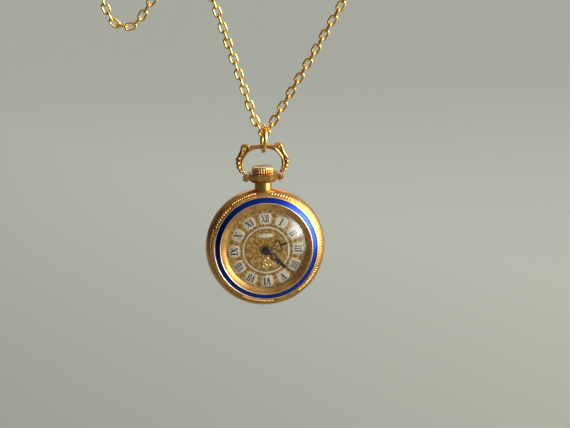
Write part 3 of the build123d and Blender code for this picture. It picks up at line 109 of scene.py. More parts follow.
@dataclass
class Nodes:
    """A node tree, with short ways to add what this script needs."""

    tree: bpy.types.NodeTree

    def put(self, kind: str, values: Inputs | None = None, **settings: Any) -> bpy.types.Node:
        """Adds a node.

        Args:
            kind: The node's Blender type name.
            values: Input name or number to a value, or to the socket that feeds it.
            **settings: Properties of the node itself.

        Returns:
            The new node.
        """
        node = self.tree.nodes.new(kind)
        for name, value in settings.items():
            setattr(node, name, value)
        for key, value in (values or {}).items():
            if isinstance(value, Socket):
                self.tree.links.new(value, node.inputs[key])
            else:
                node.inputs[key].default_value = value
        return node

    def add(self, kind: str, values: Inputs | None = None, out: str | int = 0, **settings: Any) -> Socket:
        """Adds a node as put() does, and returns its output of that name or number."""
        return self.put(kind, values, **settings).outputs[out]

    def calc(self, operation: str, *values: Any) -> Socket:
        """Works out one number from numbers or sockets with a Math node."""
        return self.add("ShaderNodeMath", dict(enumerate(values)), operation=operation)

    def blend(self, one: Any, one_share: Any, two: Any, two_share: Any) -> Socket:
        """Adds up two values, each times its share."""
        return self.calc("ADD", self.calc("MULTIPLY", one, one_share), self.calc("MULTIPLY", two, two_share))

    def split(self, place: Socket) -> Any:
        """Returns the outputs X, Y and Z of a place."""
        return self.put("ShaderNodeSeparateXYZ", {"Vector": place}).outputs

    def noise(self, place: Socket, size_mm: float, detail: float) -> Socket:
        """Adds clouds of about that size in millimetres."""
        values = {"Vector": place, "Scale": 1 / (size_mm * MM), "Detail": detail}
        return self.add("ShaderNodeTexNoise", values, "Fac")

    def cells(self, place: Socket, size_mm: float, randomness: float = 1.0) -> Socket:
        """Adds cells of that size in millimetres, and returns the distance from each cell's middle."""
        values = {"Vector": place, "Scale": 1 / (size_mm * MM), "Randomness": randomness}
        return self.add("ShaderNodeTexVoronoi", values, "Distance")

    def smudge(self, value: Socket, low: float, high: float) -> Socket:
        """Maps a value from 0 to 1 onto the range from low to high."""
        return self.add("ShaderNodeMapRange", {"Value": value, "To Min": low, "To Max": high}, "Result")

    def ramp(self, factor: Socket, *stops: tuple[float, str]) -> Socket:
        """Maps a factor through two colour stops.

        Args:
            factor: The socket that drives the ramp.
            *stops: Position and hex code of each stop.

        Returns:
            The ramp's colour.
        """
        node = self.put("ShaderNodeValToRGB", {"Fac": factor})
        for element, (position, code) in zip(node.color_ramp.elements, stops):
            element.position, element.color = position, linear(code)
        return node.outputs["Color"]

    def bump(self, height: Socket, strength: float, depth_mm: float) -> Socket:
        """Turns a height from 0 to 1, of that full depth in millimetres, into a normal."""
        values = {"Strength": strength, "Distance": depth_mm * MM, "Height": height}
        return self.add("ShaderNodeBump", values, "Normal")


@dataclass(frozen=True)
class Finish:
    """A finish that builds one material; each kind of surface says what its shader takes."""

    name: str

    def material(self) -> bpy.types.Material:
        """Builds the finish's material the first time, and finds it again after that.

        Returns:
            The material.
        """
        made = bpy.data.materials.get(self.name)
        if made is None:
            made = bpy.data.materials.new(self.name)
            made.use_nodes = True
            made.node_tree.nodes.clear()
            on = Nodes(made.node_tree)
            inputs = self.inputs(on, on.add("ShaderNodeTexCoord", out="Object"))
            surface = on.add("ShaderNodeBsdfPrincipled", inputs, "BSDF")
            on.put("ShaderNodeOutputMaterial", {"Surface": surface})
        return made

    def inputs(self, on: Nodes, place: Socket) -> dict[str, Any]:
        """Works out what the Principled shader takes.

        Args:
            on: The material's nodes.
            place: Object coordinates, in metres.

        Returns:
            The shader's inputs.
        """
        raise NotImplementedError


@dataclass(frozen=True)
class PlatedGold(Finish):
    """Gold plate on brass, polished or brushed: warm, with painted shade that darkens the hollows and
    lightens the edges.
    """

    # Ends of the colour ramp: dark paints the shade in hollows and light the brighter edges, mixed with
    # random clouds
    light: str = "E2AE62"
    dark: str = "A9682A"
    rough: float = 0.22
    brush_mm: float = 0.25
    brush_depth: float = 0.004
    brush_lines: Triple = (1.0, 1.0, 8.0)
    cloud_mm: float = 2.2

    def inputs(self, on: Nodes, place: Socket) -> dict[str, Any]:
        """Makes a plated colour from random clouds and painted shade by pointiness, smudged roughness and a
        fine brushed bump.

        Args:
            on: The material's nodes.
            place: Object coordinates, in metres.

        Returns:
            The shader's inputs.
        """
        clouds = on.noise(place, self.cloud_mm, 4.0)
        # Colour: random clouds plus pointiness, a painted shade that darkens hollows and lightens edges
        tone_and_hollow_shade = on.blend(clouds, 0.45, on.add("ShaderNodeNewGeometry", out="Pointiness"), 0.6)
        lines = on.add("ShaderNodeMapping", {"Vector": place, "Scale": self.brush_lines})
        return {"Base Color": on.ramp(tone_and_hollow_shade, (0.38, self.dark), (0.6, self.light)), "Metallic": 1.0,
                "Roughness": on.smudge(clouds, self.rough * 0.75, self.rough * 1.35),
                "Normal": on.bump(on.noise(lines, self.brush_mm, 3.0), 0.6, self.brush_depth)}


@dataclass(frozen=True)
class EngravedGold(Finish):
    """Rose gold plate on the turned case: satin round the axis, matted and darker under the engraving."""

    light: str = "E6B26A"
    dark: str = "C48A4A"
    ground: str = "7E4A1E"
    rough: float = 0.27
    cloud_mm: float = 3.0
    matting_mm: float = 0.22
    satin: Point = (1.2, 6.0)
    band_mm: Point = (12.0, 13.02)
    band_front_mm: float = -4.7

    def inputs(self, on: Nodes, place: Socket) -> dict[str, Any]:
        """Makes the satin in polar coordinates about the case's middle, and the slope's matted ground.

        Args:
            on: The material's nodes.
            place: Object coordinates, in metres.

        Returns:
            The shader's inputs.
        """
        split = on.split(place)
        x, y, z = (on.calc("DIVIDE", split[axis], MM) for axis in "XYZ")
        radius = on.calc("SQRT", on.blend(x, x, z, z))
        inner, outer = self.band_mm
        across = on.calc("ABSOLUTE", on.calc("SUBTRACT", radius, (inner + outer) / 2))
        inside = on.calc("LESS_THAN", across, (outer - inner) / 2)
        mask = on.calc("MULTIPLY", inside, on.calc("LESS_THAN", y, self.band_front_mm))
        matting = on.cells(place, self.matting_mm)
        round_axis = on.calc("MULTIPLY", on.calc("ARCTAN2", x, z), self.satin[0])
        outwards = on.calc("MULTIPLY", radius, self.satin[1])
        satin = on.add("ShaderNodeCombineXYZ", {"X": round_axis, "Y": outwards, "Z": y})
        lines = on.add("ShaderNodeTexNoise", {"Vector": satin, "Scale": 3.0, "Detail": 3.0}, "Fac")
        plate = on.ramp(on.noise(place, self.cloud_mm, 4.0), (0.3, self.dark), (0.55, self.light))
        dulled = on.calc("MULTIPLY", mask, on.calc("SUBTRACT", 1.0, matting))
        mix = {0: on.calc("MULTIPLY", dulled, 0.75), 6: plate, 7: linear(self.ground)}
        return {"Base Color": on.add("ShaderNodeMix", mix, 2, data_type="RGBA"), "Metallic": 1.0,
                "Roughness": on.smudge(lines, self.rough * 0.7, self.rough * 1.3),
                "Normal": on.bump(on.blend(matting, mask, lines, 0.2), strength=0.6, depth_mm=0.05)}


@dataclass(frozen=True)
class BlueEnamel(Finish):
    """Translucent blue enamel over engine-turned silver: deep, glossy, bright where the light comes back."""

    deep: str = "04104C"
    bright: str = "0845D4"
    ring_r_mm: float = 11.1
    wave_mm: float = 0.3
    cloud_mm: float = 4.0

    def inputs(self, on: Nodes, place: Socket) -> dict[str, Any]:
        """Makes the blue over a fine engine-turned ground, under a clear coat.

        Args:
            on: The material's nodes.
            place: Object coordinates, in metres.

        Returns:
            The shader's inputs.
        """
        split = on.split(place)
        angle = on.calc("ARCTAN2", split["X"], split["Z"])
        wave = on.calc("MULTIPLY", angle, math.pi * self.ring_r_mm / self.wave_mm)
        turned = on.calc("ABSOLUTE", on.calc("SINE", wave))
        tone = on.blend(turned, 0.35, on.noise(place, self.cloud_mm, 2.0), 0.5)
        return {"Base Color": on.ramp(tone, (0.15, self.deep), (0.85, self.bright)), "Metallic": 0.88,
                "Roughness": 0.24, "Coat Weight": 0.25, "Coat Roughness": 0.04,
                "Normal": on.bump(turned, strength=0.35, depth_mm=0.02)}


@dataclass(frozen=True)
class ClearCrystal(Finish):
    """Moulded acrylic watch crystal: clear, glossy, with the faint warmth of age."""

    tint: str = "FFFDF6"
    haze_mm: float = 2.0

    def inputs(self, on: Nodes, place: Socket) -> dict[str, Any]:
        """Returns a clear dielectric with a breath of roughness."""
        return {"Base Color": linear(self.tint), "Transmission Weight": 1.0, "IOR": 1.49,
                "Roughness": on.smudge(on.noise(place, self.haze_mm, 5.0), 0.0, 0.05)}


@dataclass(frozen=True)
class EmbossedGilt(Finish):
    """Stamped and gilt dial metal: matt stippled ground, coloured by its height, with painted shade in the
    low ground and a painted highlight on the high spots.
    """

    light: str = "E4BC68"
    dark: str = "9C6C28"
    leaf_mm: float = 0.6
    stipple_mm: float = 0.2
    rough: float = 0.4

    def inputs(self, on: Nodes, place: Socket) -> dict[str, Any]:
        """Makes a stippled gilt ground, its colour painted darker in the hollows and lighter on the high
        spots.

        Args:
            on: The material's nodes.
            place: Object coordinates, in metres.

        Returns:
            The shader's inputs.
        """
        height = on.blend(on.noise(place, self.leaf_mm, 2.0), 0.75, on.cells(place, self.stipple_mm), 0.35)
        # The colour follows the bump height: painted shade in the low ground, painted highlight on the high
        # spots
        return {"Base Color": on.ramp(height, (0.38, self.dark), (0.68, self.light)), "Metallic": 1.0,
                "Roughness": self.rough, "Normal": on.bump(height, strength=0.6, depth_mm=0.06)}


@dataclass(frozen=True)
class Vitreous(Finish):
    """Fired opaque enamel, lacquer or stone: a smooth coloured glass that is slightly uneven."""

    light: str = "F6F2E8"
    dark: str = "E2DCCE"
    rough: float = 0.18
    mottle_mm: float = 0.8

    def inputs(self, on: Nodes, place: Socket) -> dict[str, Any]:
        """Makes an opaque, slightly mottled glass.

        Args:
            on: The material's nodes.
            place: Object coordinates, in metres.

        Returns:
            The shader's inputs.
        """
        mottle = on.noise(place, self.mottle_mm, 4.0)
        return {"Base Color": on.ramp(mottle, (0.3, self.dark), (0.62, self.light)), "Roughness": self.rough,
                "Normal": on.bump(mottle, strength=0.3, depth_mm=0.02)}


@dataclass(frozen=True)
class MovementMetal(Finish):
    """Plates, wheels and steelwork of a movement: metal with a fine grain, or with polished spots."""

    light: str = "D9BE7E"
    dark: str = "A88B4A"
    rough: float = 0.28
    grain_mm: float = 0.12
    spots_mm: float = 0.0

    def inputs(self, on: Nodes, place: Socket) -> dict[str, Any]:
        """Makes a grained metal, with overlapping polished spots where the plate has them.

        Args:
            on: The material's nodes.
            place: Object coordinates, in metres.

        Returns:
            The shader's inputs.
        """
        height = on.noise(place, self.grain_mm, 3.0)
        if self.spots_mm:
            rings = on.calc("SINE", on.calc("MULTIPLY", on.cells(place, self.spots_mm, 0.15), 40.0))
            height = on.blend(height, 0.4, rings, 0.25)
        return {"Base Color": on.ramp(height, (0.2, self.dark), (0.8, self.light)), "Metallic": 1.0,
                "Roughness": self.rough, "Normal": on.bump(height, strength=0.4, depth_mm=0.01)}


class Kind(Enum):
    """The finishes of the watch, each named for what the real surface is."""

    CASE = EngravedGold("engraved_rose_gold_plate")
    CUT = PlatedGold("engraved_border_rose_gold", light="F0C27C", dark="B07438", rough=0.2, cloud_mm=1.2)
    POLISHED = PlatedGold("polished_rose_gold_plate", rough=0.16)
    FACETED = PlatedGold("faceted_rose_gold_plate", light="DDA862", dark="8A5528", rough=0.14,
                         brush_depth=0.002)
    # Its dark end is deep, so the painted shade in the casting's hollows is strong
    CAST = PlatedGold("cast_gold_plate_deep_painted_shade", light="E6B570", dark="7C4A1E", rough=0.2, cloud_mm=1.4)
    CHAIN = PlatedGold("polished_yellow_gold_plate", light="FFDD7E", dark="CE9430", rough=0.16,
                       brush_depth=0.002)
    ENAMEL = BlueEnamel("blue_enamel_over_engine_turning")
    CRYSTAL = ClearCrystal("clear_acrylic_crystal")
    DIAL = EmbossedGilt("stamped_gilt_dial")
    RELIEF = PlatedGold("burnished_gilt_relief", light="FFE4A2", dark="D49E4C", rough=0.28, cloud_mm=0.9)
    WHITE = Vitreous("white_fired_enamel")
    BLACK = Vitreous("black_glossy_lacquer", light="0B0C10", dark="050507", rough=0.08, mottle_mm=6.0)
    # Paler than the case's gold: partly its own gold tone, partly a painted highlight so the fillets look lit
    # all round
    FILLET = PlatedGold("pale_gold_fillet", light="FFE6BE", dark="EBC48C", rough=0.34)
    NUMERAL = Vitreous("black_numeral_paint", light="14120F", dark="0A0908", rough=0.4)
    PLATE = MovementMetal("spotted_gilt_brass_plate", light="DCC48A", dark="B4975A", spots_mm=0.9)
    WHEEL = MovementMetal("grained_wheel_brass", light="E0BE6A", dark="AE8738")
    STEEL = MovementMetal("brushed_spring_steel", light="B9BCC2", dark="7E828A", rough=0.22)
    BLUED = MovementMetal("heat_blued_steel", light="2A3E8F", dark="10194A", rough=0.2)
    RUBY = Vitreous("red_ruby_stone", light="C21F44", dark="8A0F2C", rough=0.08)


# The CAD nodes that a sub-assembly dresses, by finish
Dressed = tuple[tuple[Kind, tuple[str, ...]], ...]


@dataclass
class Assembly:
    """A sub-assembly: the CAD nodes that it dresses, and the pieces that it builds itself."""

    dressed: Dressed = ()

    def dress(self, frame: dict[str, Any]) -> None:
        """Gives each of its CAD nodes a finish.
        """
        for kind, nodes in self.dressed:
            for node in nodes:
                materials = frame["nodes"][node].data.materials
                materials.clear()
                materials.append(kind.value.material())
                LOG.info("%s is finished in %s", node, kind.value.name)

    def build(self) -> None:
        """Builds its own pieces, where it has any."""


def new_object(name: str, data: Any) -> bpy.types.Object:
    """Makes an object and puts it in the scene.

    Args:
        name: Its name.
        data: Its mesh, light or camera.

    Returns:
        The object.
    """
    thing = bpy.data.objects.new(name, data)
    bpy.context.scene.collection.objects.link(thing)
    return thing


def applied(holder: bpy.types.Object) -> Mesh:
    """Applies an object's modifiers.

    Args:
        holder: The object, which is removed.

    Returns:
        The plain mesh that they make.
    """
    bpy.context.view_layer.update()
    mesh = bpy.data.meshes.new_from_object(holder.evaluated_get(bpy.context.evaluated_depsgraph_get()))
    bpy.data.objects.remove(holder)
    return mesh


def mesh_from(build: BMesh, name: str, weld: bool = True) -> Mesh:
    """Closes a bmesh into a mesh with its faces outwards.

    Args:
        build: The bmesh, which is freed.
        name: The mesh's name.
        weld: Whether vertices at the same place become one.

    Returns:
        The mesh.
    """
    if weld:
        bmesh.ops.remove_doubles(build, verts=build.verts, dist=1e-7)
    bmesh.ops.recalc_face_normals(build, faces=build.faces)
    mesh = bpy.data.meshes.new(name)
    build.to_mesh(mesh)
    build.free()
    return mesh


def keep_piece(shape: BMesh | Mesh, name: str, body: str, kind: Kind, stands_for: Iterable[str] = (),
               smooth: bool = True) -> None:
    """Makes an object of a finished shape and lets it ride on its body.

    Args:
        shape: The bmesh or mesh, in metres and in the part's frame.
        name: The piece's name.
        body: The CAD body it moves with.
        kind: Its finish.
        stands_for: CAD nodes that it replaces.
        smooth: Whether its faces are shaded smooth, with creases at its edges.
    """
    mesh = shape if isinstance(shape, Mesh) else mesh_from(shape, name)
    piece = new_object(name, mesh)
    mesh.materials.clear()
    mesh.materials.append(kind.value.material())
    if smooth:
        mesh.shade_smooth()
        mesh.set_sharp_from_angle(angle=math.radians(SMOOTH_ANGLE))
    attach(piece, body)
    for node in stands_for:
        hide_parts(node)
    LOG.info("%s has %d faces", name, len(mesh.polygons))


def at(x: float, depth: float, z: float) -> Vector:
    """Returns a point in metres from millimetres, with the depth counted from the back face."""
    return Vector((x, -depth, z)) * MM


def turned_spot(angle: float, outwards: float, sideways: float = 0.0) -> Point:
    """Returns x and z of a spot on the dial, from its clockwise angle in degrees and its distances."""
    s, c = math.sin(math.radians(angle)), math.cos(math.radians(angle))
    return outwards * s + sideways * c, outwards * c - sideways * s - MOVEMENT_DROP


def turns(count: int, extra: int = 0) -> list[float]:
    """Returns equal steps round a circle in radians, with the extra ones past the full turn."""
    return [2 * math.pi * k / count for k in range(count + extra)]


def bulged(share: float, power: float) -> float:
    """Returns a sine or cosine pushed outwards, so that a round outline becomes a rounded rectangle."""
    return math.copysign(abs(share) ** power, share)


def bridge(build: BMesh, rings: Sequence[Sequence[Any]], capped: bool = True) -> None:
    """Skins a row of rings.

    Args:
        build: The bmesh that takes the faces.
        rings: The vertices of each ring, all as many, or a single one where the shape ends in a point.
        capped: Whether the first and the last ring are closed with a face.
    """
    if capped:
        build.faces.new(rings[0])
        build.faces.new(list(reversed(rings[-1])))
    for one, two in zip(rings, rings[1:]):
        sides = max(len(one), len(two))
        for k in range(sides):
            m = (k + 1) % sides
            corners = (one[k % len(one)], two[k % len(two)], two[m % len(two)], one[m % len(one)])
            build.faces.new(tuple(dict.fromkeys(corners)))


def add_prism(build: BMesh, outline: Sequence[Point], back: float, front: float) -> None:
    """Adds a flat plate of any outline in millimetres, parallel to the dial, from its back to its front."""
    bridge(build, [[build.verts.new(at(x, depth, z)) for x, z in outline] for depth in (back, front)])


def add_pillow(build: BMesh, outline: Sequence[Point], back: float, rise: float,
               steps: Sequence[Point]) -> None:
    """Adds a low cushion on an outline, as enamel swells in its cell.

    Args:
        build: The bmesh that takes it.
        outline: Its corners, x and z in millimetres.
        back: Depth of its foot.
        rise: Its height.
        steps: For each ring, its size as a share of the outline and its height as a share of the rise.
    """
    cx, cz = (sum(p[axis] for p in outline) / len(outline) for axis in (0, 1))
    bridge(build, [[build.verts.new(at(cx + (x - cx) * size, back + rise * up, cz + (z - cz) * size))
                    for x, z in outline] for size, up in steps])


def add_tube(build: BMesh, line: Sequence[Vector], radii: Sequence[Point], sides: int) -> None:
    """Adds a tube with its own width and height at each point of a line.

    Args:
        build: The bmesh that takes it.
        line: Its points, in metres.
        radii: Half width across the line and half height towards the front, in millimetres, at each point.
        sides: Sides of its section.
    """
    rings = []
    for i, (spot, (wide, tall)) in enumerate(zip(line, radii)):
        ahead = (line[min(i + 1, len(line) - 1)] - line[max(i - 1, 0)]).normalized()
        aside = ahead.cross(FORWARD).normalized()
        high = aside.cross(ahead).normalized()
        rings.append([build.verts.new(spot + (aside * math.cos(t) * wide + high * math.sin(t) * tall) * MM)
                      for t in turns(sides)])
    bridge(build, rings)


def add_ball(build: BMesh, spot: Vector, radius: float) -> None:
    """Adds a small ball with its radius in millimetres."""
    bmesh.ops.create_uvsphere(build, u_segments=10, v_segments=6, radius=radius * MM,
                              matrix=Matrix.Translation(spot))


def smooth_line(points: Sequence[Vector], per_span: int = SPAN_STEPS) -> list[Vector]:
    """Rounds a line through its points with a Catmull-Rom curve.

    Args:
        points: The points it passes through.
        per_span: Steps from each point to the next.

    Returns:
        The finer points.
    """
    ends = [points[0] * 2 - points[1], *points, points[-1] * 2 - points[-2]]
    fine = []
    for i in range(1, len(ends) - 2):
        a, b, c, d = ends[i - 1:i + 3]
        for t in (step / per_span for step in range(per_span)):
            bend = (2 * a - 5 * b + 4 * c - d) * t * t + (3 * b - a - 3 * c + d) * t ** 3
            fine.append(0.5 * (2 * b + (c - a) * t + bend))
    return [*fine, ends[-2].copy()]


def pattern(name: str, kind: Kind, inputs: dict[str, Any], draw: Callable[[Nodes, Any], Socket]) -> Mesh:
    """Repeats a shape with Geometry Nodes and keeps the plain result.

    Args:
        name: The tree's and the mesh's name.
        kind: The finish it takes.
        inputs: The tree's named inputs: a whole number, a float or a tuple of three.
        draw: Adds the nodes between the tree's inputs and its geometry.

    Returns:
        The mesh that the tree makes.
    """
    sockets = {int: "NodeSocketInt", float: "NodeSocketFloat", tuple: "NodeSocketVector"}
    tree = bpy.data.node_groups.new(name, "GeometryNodeTree")
    tree.interface.new_socket("Geometry", in_out="OUTPUT", socket_type="NodeSocketGeometry")
    values = {}
    for key, value in inputs.items():
        socket = tree.interface.new_socket(key, in_out="INPUT", socket_type=sockets[type(value)])
        values[socket.identifier] = value
    on = Nodes(tree)
    shape = draw(on, on.put("NodeGroupInput").outputs)
    solid = on.add("GeometryNodeRealizeInstances", {"Geometry": shape})
    dressed = on.add("GeometryNodeSetMaterial", {"Geometry": solid, "Material": kind.value.material()})
    on.put("NodeGroupOutput", {0: dressed})
    holder = new_object(f"{name}_holder", bpy.data.meshes.new(f"{name}_empty"))
    modifier = holder.modifiers.new("pattern", "NODES")
    modifier.node_group = tree
    for identifier, value in values.items():
        modifier[identifier] = value
    mesh = applied(holder)
    mesh.name = name
    return mesh


@dataclass
class Case(Assembly):
    """The turned case: band, back, bezel, enamel between two fillets in a paler gold that partly paints their
    highlight, crystal and pendant.
    """

    dressed: Dressed = (
        (Kind.CASE, ("case_middle", "back_cover", "bezel")), (Kind.ENAMEL, ("enamel_ring",)),
        (Kind.CRYSTAL, ("crystal",)), (Kind.POLISHED, ("reflector_ring", "pendant_neck", "bow_screws")),
        (Kind.FACETED, ("pendant_collar",)),
    )
    fillets: tuple[Point, ...] = ((11.79, 5.66), (10.5, 6.43))
    wire_r: float = 0.09
    steps: int = 180
    sides: int = 8

    def build(self) -> None:
        """Lays the wire-thin fillet on the land at either side of the enamel, both as one piece."""
        build = bmesh.new()
        for radius, depth in self.fillets:
            sections = []
            for turn in turns(self.steps):
                spot = at(radius * math.sin(turn), depth, radius * math.cos(turn))
                out = Vector((spot.x, 0, spot.z)).normalized()
                sections.append([
                    build.verts.new(spot + (out * math.cos(t) + FORWARD * math.sin(t)) * self.wire_r * MM)
                    for t in turns(self.sides)])
            bridge(build, [*sections, sections[0]], capped=False)
        keep_piece(build, "enamel_fillets", "case", Kind.FILLET)


@dataclass
class Engraving(Assembly):
    """The border cut round the bezel's slope: runs of rope that alternate with runs of leaves.

    A run has its first and last angle, clockwise from twelve, and a ridge its half width, height and length.
    """

    rope: tuple[Point, ...] = ((8.0, 32.0), (72.0, 112.0), (150.0, 172.0), (212.0, 252.0), (296.0, 322.0))
    leaves: tuple[Point, ...] = ((35.0, 69.0), (115.0, 147.0), (175.0, 209.0), (255.0, 293.0), (325.0, 352.0))
    middle: Point = (12.52, 5.3)
    slope: float = -34.9
    rope_ridge: Triple = (0.19, 0.14, 0.46)
    rope_pitch: float = 3.05
    rope_slant: float = 34.0
    leaf_ridge: Triple = (0.15, 0.13, 0.34)
    leaf_pitch: float = 2.3
    leaf_slant: float = 48.0
    leaf_offset: float = 0.24

    @staticmethod
    def draw(on: Nodes, size: Any) -> Socket:
        """Draws one run: a stretched ball, slanted and laid on the slope, and stepped round the bezel.

        Args:
            on: The tree's nodes.
            size: The tree's named inputs.

        Returns:
            The run.
        """
        along = on.calc("MULTIPLY", on.add("GeometryNodeInputIndex"), size["Step"])
        turn = on.calc("ADD", size["First"], along)
        x, z = (on.calc("MULTIPLY", size["Reach"], on.calc(wave, turn)) for wave in ("SINE", "COSINE"))
        place = on.add("ShaderNodeCombineXYZ", {"X": x, "Y": size["Depth"], "Z": z})
        spots = on.add("GeometryNodePoints", {"Count": size["Ridges"], "Position": place})
        ridge = on.add("GeometryNodeMeshUVSphere", {"Segments": 12, "Rings": 8, "Radius": 1.0})
        for change, key in (("Scale", "Ridge"), ("Rotation", "Slant"), ("Rotation", "Slope")):
            ridge = on.add("GeometryNodeTransform", {"Geometry": ridge, change: size[key]})
        spin = on.add("ShaderNodeCombineXYZ", {"Y": turn})
        return on.add("GeometryNodeInstanceOnPoints", {"Points": spots, "Instance": ridge, "Rotation": spin})

    def ridge_run(self, run: Point, pitch: float, ridge: Triple, slant: float, offset: float) -> Mesh:
        """Lays one run of raised ridges along the slope.

        Args:
            run: Its first and last angle.
            pitch: Step from ridge to ridge in degrees.
            ridge: One ridge's half width, half height and half length in millimetres.
            slant: The ridge's lean from the radius in degrees.
            offset: How far up the slope its middle lies, in millimetres.

        Returns:
            The run as one plain mesh.
        """
        tilt = math.radians(self.slope)
        return pattern("engraved_run", Kind.CUT, {
            "Ridges": int((run[1] - run[0]) / pitch) + 1,
            "First": math.radians(run[0]),
            "Step": math.radians(pitch),
            "Reach": (self.middle[0] + offset * math.cos(tilt)) * MM,
            "Depth": -(self.middle[1] + offset * math.sin(tilt)) * MM,
            "Ridge": tuple(v * MM for v in ridge),
            "Slant": (0.0, math.radians(slant), 0.0),
            "Slope": (tilt, 0.0, 0.0),
        }, self.draw)

    def build(self) -> None:
        """Builds every run and keeps the border as one piece."""
        build = bmesh.new()
        runs = [(run, self.rope_pitch, self.rope_ridge, self.rope_slant, 0.0) for run in self.rope]
        runs += [(run, self.leaf_pitch, self.leaf_ridge, side * self.leaf_slant, side * self.leaf_offset)
                 for run in self.leaves for side in (1, -1)]
        for run in runs:
            build.from_mesh(self.ridge_run(*run))
        keep_piece(mesh_from(build, "bezel_engraving", weld=False), "bezel_engraving", "case", Kind.CUT)


@dataclass
class Crown(Assembly):
    """The winding crown: rounded ribs round a drum, under a low dome."""

    ribs: int = 24
    drum_r: float = 2.12
    lid_r: float = 2.36
    rib_r: float = 0.3
    low_z: float = 17.1
    rib_h: float = 1.15
    dome_h: float = 0.35
    lid_edge: float = 0.02
    foot_cut: float = 0.02
    steps: int = 72
    dome_steps: int = 8

    @staticmethod
    def draw(on: Nodes, size: Any) -> Socket:
        """Draws the ribs: a ball, stretched to almost twice their height, at each step of the drum.

        Args:
            on: The tree's nodes.
            size: The tree's named inputs.

        Returns:
            The ribs.
        """
        ring = on.add("GeometryNodeMeshCircle", {"Vertices": size["Ribs"], "Radius": size["Drum Radius"]})
        rib = on.add("GeometryNodeMeshUVSphere", {"Segments": 12, "Rings": 10, "Radius": size["Rib Radius"]})
        tall = on.calc("MULTIPLY", on.calc("DIVIDE", size["Height"], size["Rib Radius"]), 0.95)
        stretch = on.add("ShaderNodeCombineXYZ", {"X": 1.0, "Y": 1.0, "Z": tall})
        rib = on.add("GeometryNodeTransform", {"Geometry": rib, "Scale": stretch})
        placed = on.add("GeometryNodeInstanceOnPoints", {"Points": ring, "Instance": rib})
        return on.add("GeometryNodeTransform", {"Geometry": placed, "Translation": size["Middle"]})

    def profile(self) -> list[Point]:
        """Draws half of the section through the drum, the lid's edge and the dome.

        Returns:
            Radius and height of each ring.
        """
        top = self.rib_h + self.lid_edge
        return [(0.0, 0.0), (self.drum_r - 0.15, 0.0), (self.drum_r, 0.12), (self.drum_r, self.rib_h - 0.1),
                (self.lid_r, self.rib_h - 0.06), (self.lid_r, top)] + [
            (self.lid_r * math.cos(t), top + (self.dome_h - self.lid_edge) * math.sin(t))
            for t in (math.pi / 2 * k / self.dome_steps for k in range(1, self.dome_steps + 1))]

    def build(self) -> None:
        """Builds the ribbed drum and its dome, and keeps them as one piece."""
        build = bmesh.new()
        build.from_mesh(pattern("crown_ribs", Kind.CAST, {
            "Ribs": self.ribs, "Drum Radius": self.drum_r * MM, "Rib Radius": self.rib_r * MM,
            "Height": self.rib_h * MM, "Middle": tuple(at(0, STEM_DEPTH, self.low_z + self.rib_h / 2)),
        }, self.draw))
        for height, way in ((self.low_z + self.foot_cut, -1), (self.low_z + self.rib_h, 1)):
            cut = bmesh.ops.bisect_plane(
                build, geom=build.verts[:] + build.edges[:] + build.faces[:], plane_co=at(0, 0, height),
                plane_no=Vector((0, 0, way)), clear_outer=True)
            bmesh.ops.edgeloop_fill(
                build, edges=[e for e in cut["geom_cut"] if isinstance(e, bmesh.types.BMEdge)])
        bridge(build, [
            [build.verts.new(at(r * math.cos(t), STEM_DEPTH - r * math.sin(t), self.low_z + height))
             for t in (turns(self.steps) if r > POINT_R else (0.0,))]
            for r, height in self.profile()
        ], capped=False)
        keep_piece(build, "winding_crown", "crown_and_stem", Kind.CAST, ["crown"])


@dataclass(frozen=True)
class Sign:
    """A Roman sign of height 1.

    A stroke has its x at the head, its x at the foot and its width, and a serif its x, height and half width.
    """

    strokes: tuple[Triple, ...]
    serifs: tuple[Triple, ...]
    width: float
    serif_h: float = 0.09

    def outlines(self) -> list[list[Point]]:
        """Outlines the sign.

        Returns:
            The corners of each stroke, its ends cut level, and of each serif.
        """
        h = self.serif_h / 2
        pens = [[(a - w / 2, 0.5), (a + w / 2, 0.5), (b + w / 2, -0.5), (b - w / 2, -0.5)]
                for a, b, w in self.strokes]
        return pens + [[(x - w, y - h), (x + w, y - h), (x + w, y + h), (x - w, y + h)]
                       for x, y, w in self.serifs]


SIGNS: dict[str, Sign] = {
    "I": Sign(((0.0, 0.0, 0.2),), ((0.0, 0.5, 0.16), (0.0, -0.5, 0.16)), 0.36),
    "V": Sign(((-0.23, 0.02, 0.22), (0.25, 0.04, 0.09)), ((-0.23, 0.5, 0.15), (0.25, 0.5, 0.11)), 0.74),
    "X": Sign(((-0.25, 0.25, 0.22), (0.25, -0.25, 0.09)),
              ((-0.25, 0.5, 0.14), (0.25, 0.5, 0.11), (-0.25, -0.5, 0.11), (0.25, -0.5, 0.14)), 0.78),
}


